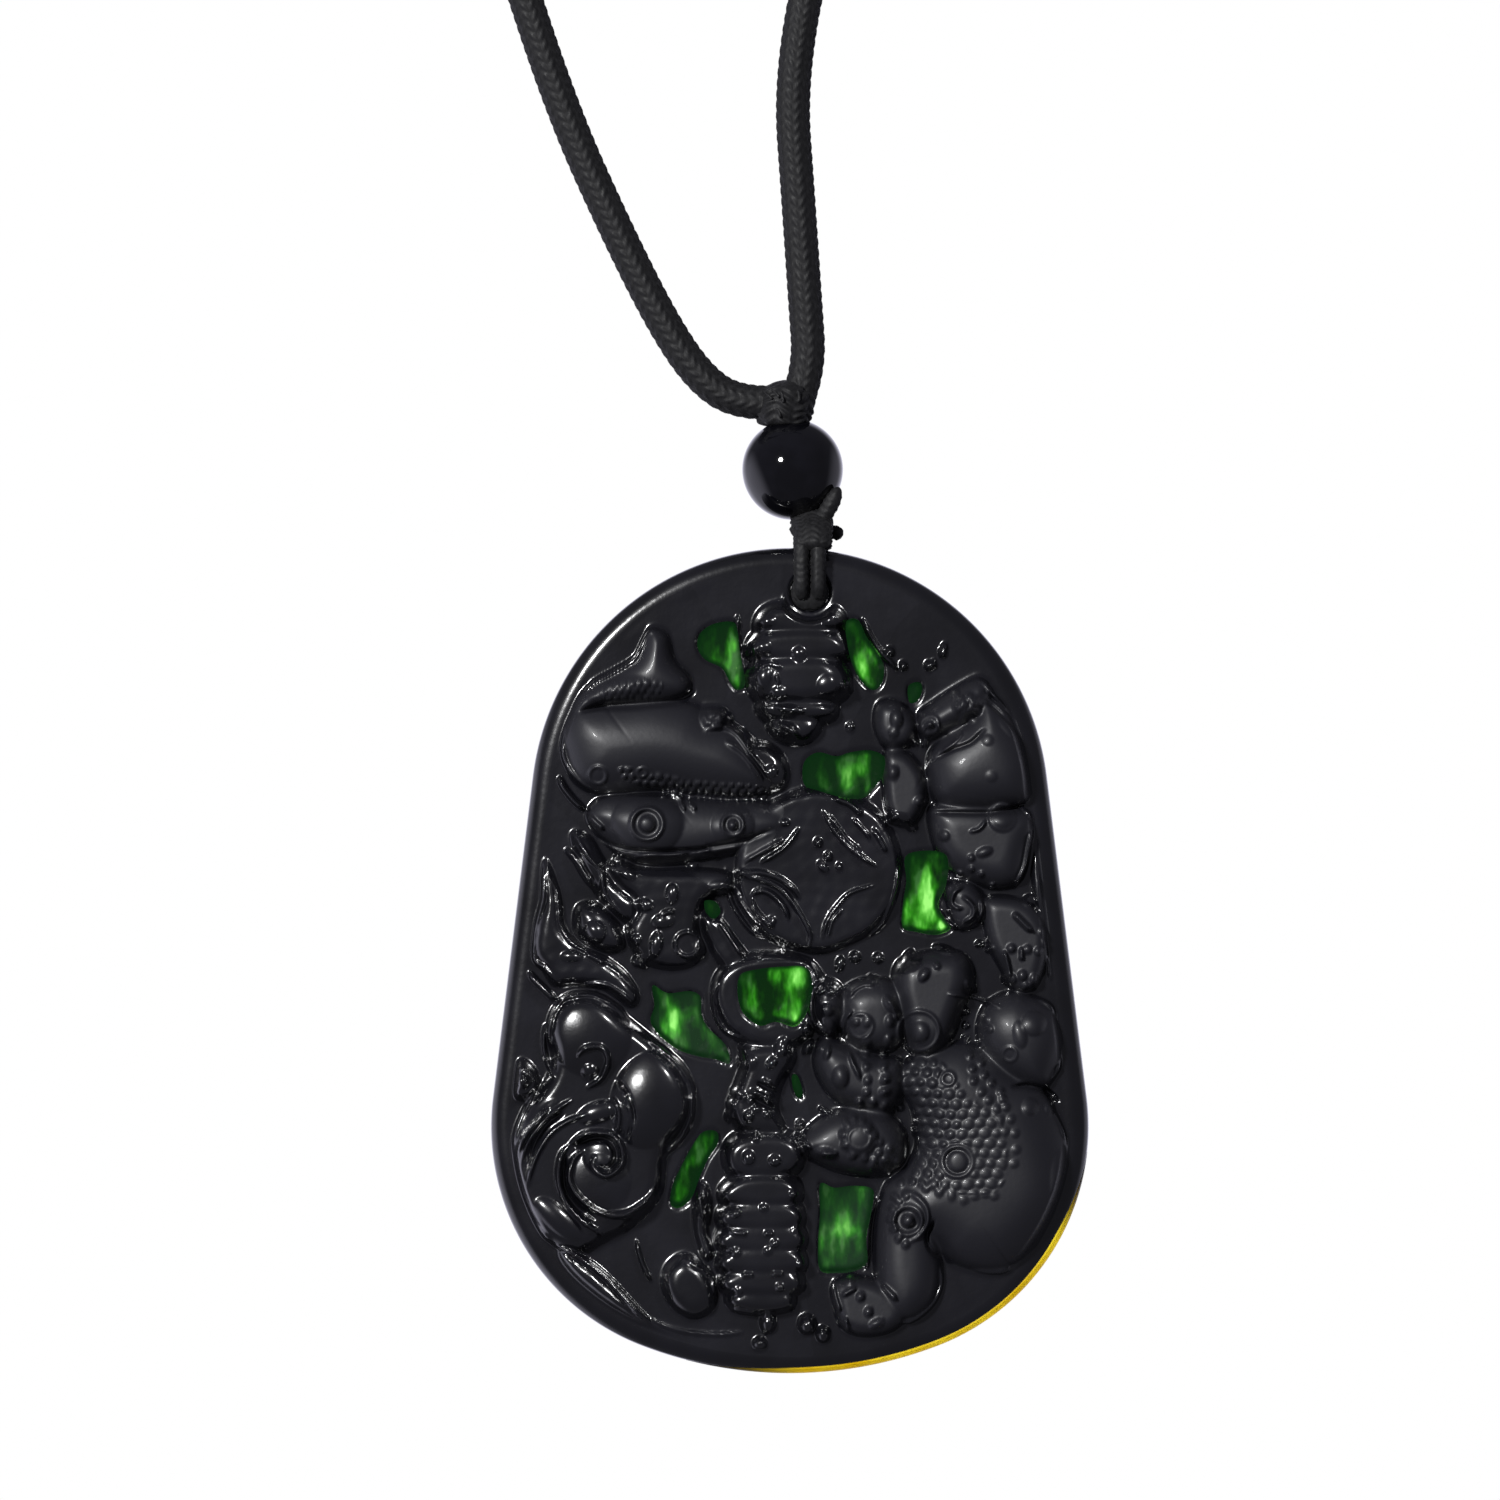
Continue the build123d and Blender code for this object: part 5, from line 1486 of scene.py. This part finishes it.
@dataclass
class JadePlaque:
    """The carved plaque: a stone body with a rounded rim, motifs set in its face and thin green windows."""

    stone: Material
    emerald: Material
    rim_glow: Material
    thickness: float = 4.6
    front_round: float = 1.2
    back_round: float = 0.9
    hole_across: float = 1.4
    hole_drop: float = 3.1
    hole_radius: float = 1.35
    hole_round: float = 0.35
    hole_corners: int = 72
    cells: int = 480
    form_rounds: int = 6
    satin_rounds: int = 8
    own_part: float = 0.45
    satin_rise: Pair = (0.25, 0.8)
    shine_rise: Pair = (1.0, 1.6)
    rim_fall: Pair = (0.965, 0.995)
    snap_reach: float = 6.0
    bed: float = 0.9
    # The rim at the lower right with a painted yellow glow, standing in for light refracted through it
    warm_width: float = 0.48
    warm_least: float = 0.03
    warm_spare: float = 0.008
    warm_start: Pair = (-107.0, -86.0)
    warm_end: Pair = (-47.0, -31.0)
    floor_thickness: float = 1.0
    floor_margin: float = 5.0
    floor_cell: float = 1.6
    floor_gap: float = 0.03
    floor_lip: float = 3.0
    floor_sway: float = 0.05
    # Painted shade of the window floors: darker towards the upper left and next to the wall, as if the wall
    # shaded them
    lit_side: Pair = (0.55, 0.83)
    lit_rise: Pair = (-0.7, 0.0)
    shaded_part: float = 0.25
    wall_shade: Pair = (-0.5, 6.0)

    def __post_init__(self) -> None:
        """Take the plaque's place from the frame."""
        low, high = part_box("plaque")
        self.outline = PlaqueOutline((high.z - low.z) / MM, (high.x - low.x) / MM)
        self.top_z = high.z / MM
        self.face_y = high.y / MM - self.thickness
        self.window_curves = [smooth_curve(window.outline, True, 4) for window in WINDOWS]
        centre = np.array([self.hole_across / STEP + MIDDLE, TOP + self.hole_drop / STEP])
        turns = np.linspace(0, 2 * math.pi, self.hole_corners, endpoint=False)[:, None]
        circle = centre + self.hole_radius / STEP * np.concatenate([np.cos(turns), np.sin(turns)], axis=1)
        self.openings = (*self.window_curves, circle)

    def to_steps(self, flat: Array) -> Array:
        """Turn millimetres across and up from the top's middle into the carving's steps."""
        return np.stack([flat[:, 0] / STEP + MIDDLE, TOP - flat[:, 1] / STEP], axis=1)

    def to_flat(self, steps: Array) -> Array:
        """Turn the carving's steps into millimetres across and up from the top's middle."""
        return np.stack([(steps[:, 0] - MIDDLE) * STEP, (TOP - steps[:, 1]) * STEP], axis=1)

    def steps_of(self, points: Array) -> Array:
        """Turn places in millimetres into the carving's steps."""
        return self.to_steps(np.stack([points[:, 0], points[:, 2] - self.top_z], axis=1))

    def face_steps(self, mesh: Mesh) -> Array:
        """Give the middle of each face of a mesh in the carving's steps."""
        centres = np.zeros(len(mesh.polygons) * 3, np.float32)
        mesh.polygons.foreach_get("center", centres)
        return self.steps_of(centres.reshape(-1, 3).astype(float) / MM)

    def bend_grid(self, grid: Array) -> Array:
        """Bend a square grid from -1 to 1 so that it fills the outline inside the rim's rounding.

        Args:
            grid: Points of the square grid.

        Returns:
            Places across and up from the top's middle, in millimetres.
        """
        first, second = grid.T
        wide = np.abs(first) >= np.abs(second)
        safe_first = np.where(first == 0, 1e-9, first)
        safe_second = np.where(second == 0, 1e-9, second)
        steep = math.pi / 2 - math.pi / 4 * first / safe_second
        turn = np.where(wide, math.pi / 4 * second / safe_first, steep)
        ring = np.where(wide, first, second)
        half_height = self.outline.height / 2
        reach_x = np.cos(turn) * self.outline.width / 2 * np.sign(ring)
        reach_v = np.sin(turn) * half_height * np.sign(ring)
        angle = np.arctan2(reach_v, reach_x)
        points, directions = self.outline.points()
        inner = points - self.front_round * directions
        inner_angle = np.arctan2(inner[:, 1] + half_height, inner[:, 0])
        inner_radius = np.hypot(inner[:, 0], inner[:, 1] + half_height)
        order = np.argsort(inner_angle)
        radius = np.interp(angle, inner_angle[order], inner_radius[order], period=2 * math.pi)
        far = radius * np.abs(ring)
        return np.stack([far * np.cos(angle), far * np.sin(angle) - half_height], axis=1)

    def carved_face(self) -> Mesh:
        """Make the whole carved face as one open sheet, in place."""
        mesh = grid_mesh("carved_face", self.cells, self.cells)
        grid = get_coordinates(mesh)[:, :2]
        order = np.lexsort((np.round(grid[:, 0], 6), np.round(grid[:, 1], 6)))
        flat = self.bend_grid(grid)
        carving = Carving(self.to_steps(flat))
        carving.raise_pillows()
        carving.heights[order] = self.soften(carving.heights[order], self.form_rounds)
        motif = self.nearest_motif(carving.places)
        toads = [index for index, name in enumerate(Motif) if name.value.startswith("toad")]
        toad = np.isin(motif, toads)
        satin = toad * smooth_step(carving.heights, *self.satin_rise)
        satin[order] = self.soften(satin[order], self.satin_rounds)
        carving.carve()
        carving.add_tool_marks(np.maximum(satin, smooth_step(carving.heights, *self.shine_rise)))
        carving.heights[order] = self.soften(carving.heights[order], 1)
        rim = np.max(np.abs(grid), axis=1)
        height = carving.heights * (1.0 - smooth_step(rim, *self.rim_fall))
        gap = np.hypot(flat[:, 0] - self.hole_across, flat[:, 1] + self.hole_drop)
        height = height * smooth_step(gap, self.hole_radius + self.hole_round, self.hole_radius + 1.0)
        share = np.clip((gap - self.hole_radius) / self.hole_round, 0.0, 1.0)
        height = height - self.hole_round * (1.0 - np.sqrt(1.0 - (1.0 - share) ** 2))
        set_coordinates(mesh, np.stack([flat[:, 0], self.face_y - height, self.top_z + flat[:, 1]], axis=1))
        mesh.attributes.new("satin", "FLOAT", "POINT").data.foreach_set("value", satin.astype(np.float32))
        return mesh

    def soften(self, values: Array, times: int) -> Array:
        """Average values, in the grid's order, with their neighbours a number of times."""
        rows = self.cells + 1
        grid = values.reshape(rows, rows).copy()
        for _ in range(times):
            around = (grid[:-2, 1:-1] + grid[2:, 1:-1] + grid[1:-1, :-2] + grid[1:-1, 2:]) / 4
            grid[1:-1, 1:-1] = self.own_part * grid[1:-1, 1:-1] + (1.0 - self.own_part) * around
        return grid.ravel()

    def snap_openings(self, mesh: Mesh) -> Array:
        """Move the points next to each opening's outline onto it and tell which faces lie in an opening.

        Args:
            mesh: The carved face, changed in place.

        Returns:
            True for each face in an opening.
        """
        points = get_coordinates(mesh) / MM
        steps = self.steps_of(points)
        centres = self.face_steps(mesh)
        corners = np.zeros(len(mesh.loops), np.int32)
        mesh.loops.foreach_get("vertex_index", corners)
        corners = corners.reshape(-1, 4)
        gone = np.zeros(len(mesh.polygons), bool)
        for curve in self.openings:
            inside = within(curve, centres)
            gone[inside] = True
            touched = np.bincount(corners[inside].ravel(), minlength=len(points))
            nearby = near(curve, centres, self.snap_reach)
            uses = np.bincount(corners[nearby].ravel(), minlength=len(points))
            runs = np.roll(curve, -1, axis=0) - curve
            for index in np.nonzero((touched > 0) & (touched < uses))[0]:
                offset = steps[index] - curve
                share = np.clip(np.sum(offset * runs, axis=1) / np.sum(runs**2, axis=1), 0.0, 1.0)
                feet = curve + share[:, None] * runs
                steps[index] = feet[np.argmin(np.sum((feet - steps[index]) ** 2, axis=1))]
        flat = self.to_flat(steps)
        points[:, 0] = flat[:, 0]
        points[:, 2] = flat[:, 1] + self.top_z
        set_coordinates(mesh, points)
        return gone

    def nearest_motif(self, steps: Array) -> Array:
        """Give the index of the motif with the seed nearest to each place, in the carving's steps."""
        nearest = np.full(len(steps), FAR)
        owner = np.zeros(len(steps), int)
        for index, motif in enumerate(Motif):
            for seed in np.array(SEEDS[motif]).reshape(-1, 2):
                gap = np.sum((steps - seed) ** 2, axis=1)
                owner = np.where(gap < nearest, index, owner)
                nearest = np.minimum(gap, nearest)
        return owner

    def cut_motif(self, face: Mesh, keep: Array, name: str) -> Mesh:
        """Cut one motif out of the carved face and close it behind.

        Args:
            face: The whole carved face.
            keep: True for each face of the motif.
            name: Name of the motif.

        Returns:
            The motif's closed mesh.
        """
        shape = bmesh.new()
        shape.from_mesh(face)
        shape.faces.ensure_lookup_table()
        waste = [shape.faces[index] for index in np.nonzero(~keep)[0]]
        bmesh.ops.delete(shape, geom=waste, context="FACES")
        edge = [line for line in shape.edges if line.is_boundary]
        made = bmesh.ops.extrude_edge_only(shape, edges=edge)["geom"]
        move_back(made, self.face_y + self.bed)
        rim = [line for line in made if isinstance(line, bmesh.types.BMEdge)]
        for line in edge + rim:
            line.smooth = False
        bmesh.ops.triangle_fill(shape, use_beauty=False, edges=rim, normal=(0, 1, 0))
        return to_solid(shape, name)

    def ring(self, shape: Shape, steps: Array, depth: float) -> list[bmesh.types.BMVert]:
        """Lay a ring of points at a depth in millimetres behind the plate's face."""
        flat = self.to_flat(steps)
        return [shape.verts.new(Vector((x, self.face_y + depth, self.top_z + v)) * MM) for x, v in flat]

    def wall(self, shape: Shape, former: Corners, latter: Corners) -> None:
        """Join two rings by a wall of four-sided faces, point by point."""
        for index in range(len(former)):
            shape.faces.new((former[index - 1], former[index], latter[index], latter[index - 1]))

    def loop(self, shape: Shape, corners: Corners) -> list[bmesh.types.BMEdge]:
        """List the edges of a ring that already has a wall."""
        return [shape.edges.get((corner, corners[index - 1])) for index, corner in enumerate(corners)]

    def front_profile(self, start: float, count: int) -> list[Pair]:
        """List insets and depths round the front edge, from an angle on to the side."""
        wide = self.front_round
        turns = np.linspace(start, math.pi / 2, count)
        return [(wide * (1 - math.sin(turn)), wide * (1 - math.cos(turn))) for turn in turns]

    def back_profile(self, end: float, count: int) -> list[Pair]:
        """List insets and depths round the back edge, from the side on to an angle."""
        wide = self.back_round
        turns = np.linspace(0.0, end, count)
        deep = self.thickness
        return [(wide * (1 - math.cos(turn)), deep - wide * (1 - math.sin(turn))) for turn in turns]

    def body(self) -> None:
        """Build the stone body: rounded rim, bed under the carving, openings and flat back."""
        shape = bmesh.new()
        points, directions = self.outline.single_points()
        warm = self.warm_share(points)
        profile = [(self.front_round, self.bed), *self.front_profile(0.0, 18)]
        profile += self.back_profile(math.pi / 2, 6)
        rings = []
        for inset, depth in profile:
            place = points - np.maximum(inset, self.warm_width * warm)[:, None] * directions
            rings.append(self.ring(shape, self.to_steps(place), depth))
        for former, latter in zip(rings[:-1], rings[1:]):
            self.wall(shape, former, latter)
        bed_edges = self.loop(shape, rings[0])
        back_edges = self.loop(shape, rings[-1])
        for curve in self.openings:
            upper = self.ring(shape, curve, self.bed)
            lower = self.ring(shape, curve, self.thickness)
            self.wall(shape, upper, lower)
            bed_edges += self.loop(shape, upper)
            back_edges += self.loop(shape, lower)
        for edges in (bed_edges, back_edges):
            bmesh.ops.triangle_fill(shape, use_beauty=False, edges=edges, normal=(0, 1, 0))
        for line in self.loop(shape, rings[1]):
            line.smooth = False
        for line in shape.edges:
            if len(line.link_faces) == 2 and line.calc_face_angle(0.0) > SHARP:
                line.smooth = False
        mesh = to_solid(shape, "jade_body")
        add_piece("jade_body", mesh, self.stone, Body.PENDANT, ("plaque",))

    def warm_share(self, points: Array) -> Array:
        """Tell how wide the rim with its painted yellow glow is at each point of the outline, from 0 to 1.
        """
        turn = np.degrees(np.arctan2(points[:, 1] + self.outline.height / 2, points[:, 0]))
        return smooth_step(turn, *self.warm_start) * (1.0 - smooth_step(turn, *self.warm_end))

    def warm_rim(self) -> None:
        """Build the thin translucent rim at the lower right, whose yellow colour is a painted glow standing
        in for light refracted through the rounded rim.
        """
        points, directions = self.outline.single_points()
        share = self.warm_share(points)
        chosen = np.nonzero(self.warm_width * share > self.warm_least * self.warm_width)[0]
        first = chosen[0]
        if chosen[-1] - chosen[0] + 1 != len(chosen):
            first = chosen[np.nonzero(np.diff(chosen) > 1)[0][0] + 1]
        chosen = (first + np.arange(len(chosen))) % len(points)
        shape = bmesh.new()
        # The warm attribute sets how strongly the painted yellow glow shows
        warm = shape.verts.layers.float.new("warm")
        former: Corners = []
        for index in chosen:
            width = float(self.warm_width * share[index])
            section = self.front_profile(math.asin(1.0 - width / self.front_round), 6)
            section += self.back_profile(math.acos(1.0 - width / self.back_round), 5)
            corners = []
            for inset, depth in section:
                x, v = points[index] - min(inset, width - self.warm_spare) * directions[index]
                corner = shape.verts.new(Vector((x, self.face_y + depth, self.top_z + v)) * MM)
                corner[warm] = share[index] ** 2
                corners.append(corner)
            if former:
                for corner in range(len(corners)):
                    behind = (corner + 1) % len(corners)
                    shape.faces.new((former[corner], former[behind], corners[behind], corners[corner]))
            else:
                shape.faces.new(corners)
            former = corners
        shape.faces.new(former[::-1])
        add_piece("jade_warm_rim", to_solid(shape, "warm_rim"), self.rim_glow, Body.PENDANT)

    def window_floors(self) -> None:
        """Build the thin green floors of the windows, with painted shade at the wall and towards the upper
        left, lighter at the lower right.
        """
        floors = [self.window_floor(window, curve) for window, curve in zip(WINDOWS, self.window_curves)]
        add_piece("emerald_window_floors", gather(floors), self.emerald, Body.PENDANT)

    def window_floor(self, window: Window, curve: Array) -> Mesh:
        """Build the floor of one window, a thin slab a little wider than the opening.

        Args:
            window: The window.
            curve: Its outline in the carving's steps.

        Returns:
            The slab's closed mesh.
        """
        low = curve.min(axis=0) - self.floor_margin
        high = curve.max(axis=0) + self.floor_margin
        columns, rows = (int(cells) for cells in np.ceil((high - low) / self.floor_cell))
        shape = bmesh.new()
        bmesh.ops.create_grid(shape, x_segments=columns, y_segments=rows, size=1.0)
        glow = shape.verts.layers.float.new("glow")
        haze = shape.verts.layers.float.new("haze")
        front = self.face_y + self.thickness - self.floor_thickness
        grid = np.array([vertex.co[:2] for vertex in shape.verts])
        steps = low + (grid + 1.0) / 2.0 * (high - low)
        gap, _ = distance_to(curve, steps, True)
        inside = inside_curve(curve, steps)
        half = 0.5 * np.linalg.norm(high - low)
        # Painted shade: the floor darkens towards the upper left and next to the wall
        lean = ((steps - curve.mean(axis=0)) @ np.array(self.lit_side)) / half
        clear = self.shaded_part + (1.0 - self.shaded_part) * smooth_step(lean, *self.lit_rise)
        light = smooth_step(np.where(inside, gap, 0.0), *self.wall_shade) * clear
        sway = self.floor_sway * waver(steps[:, 0], 3.7, 1.7, steps[:, 1], 7.0) * np.sin(steps[:, 1] / 4.3)
        flat = self.to_flat(steps)
        for index, vertex in enumerate(shape.verts):
            vertex.co = Vector((flat[index, 0], front + sway[index], self.top_z + flat[index, 1])) * MM
            vertex[glow] = window.glow * light[index]
            vertex[haze] = window.haze * light[index]
        shape.verts.index_update()
        kept = inside | (gap < self.floor_lip)
        waste = [face for face in shape.faces if not all(kept[vertex.index] for vertex in face.verts)]
        bmesh.ops.delete(shape, geom=waste, context="FACES")
        made = bmesh.ops.extrude_face_region(shape, geom=list(shape.faces), use_keep_orig=True)["geom"]
        move_back(made, self.face_y + self.thickness - self.floor_gap)
        return to_solid(shape, "window_floor")

    def build(self) -> None:
        """Build the body, the motifs, the window floors and the warm rim."""
        self.body()
        face = self.carved_face()
        gone = self.snap_openings(face)
        owner = self.nearest_motif(self.face_steps(face))
        for index, motif in enumerate(Motif):
            mesh = self.cut_motif(face, (owner == index) & ~gone, motif.value)
            add_piece(f"carved_{motif.value}", mesh, self.stone, Body.PENDANT)
        bpy.data.meshes.remove(face)
        self.window_floors()
        self.warm_rim()


# Places across and up, in millimetres, along the middle of each half of the neck cord
NECK_CORD_LEFT = (
    (-1.5, -275.0), (-3.8, -275.0), (-6.4, -273.2), (-9.0, -269.3), (-12.3, -262.7), (-15.9, -254.7),
    (-19.7, -243.3), (-27.0, -219.3), (-38.5, -177.3), (-50.0, -130.3), (-58.5, -84.0), (-60.0, -43.9),
    (-43.9, -16.1), (-16.1, 0.0), (0.0, 0.0),
)
NECK_CORD_RIGHT = (
    (0.6, -274.7), (1.4, -272.5), (1.1, -268.1), (0.6, -260.7), (0.0, -252.3), (2.0, -241.8), (8.0, -222.3),
    (21.0, -185.3), (37.0, -138.3), (52.0, -96.0), (60.0, -43.9), (43.9, -16.1), (16.1, 0.0), (0.0, 0.0),
)


def main() -> None:
    """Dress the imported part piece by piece."""
    logging.basicConfig(level=logging.INFO, format="%(message)s")
    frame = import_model()
    LOG.info("frame with %d nodes", len(frame["nodes"]))
    stage = Stage()
    stage.camera()
    stage.surroundings()
    stage.floor()
    yarn = YARN.make()
    NeckCord("left", NECK_CORD_LEFT, yarn).build()
    NeckCord("right", NECK_CORD_RIGHT, yarn).build()
    JadePlaque(STONE.make(), EMERALD.make(), RIM_GLOW.make()).build()
    Bead(BLACK_STONE.make()).build()
    windings = Windings(yarn)
    windings.joint()
    windings.strands()
    windings.sleeve()
    stage.lights()


if __name__ == "__main__":
    main()
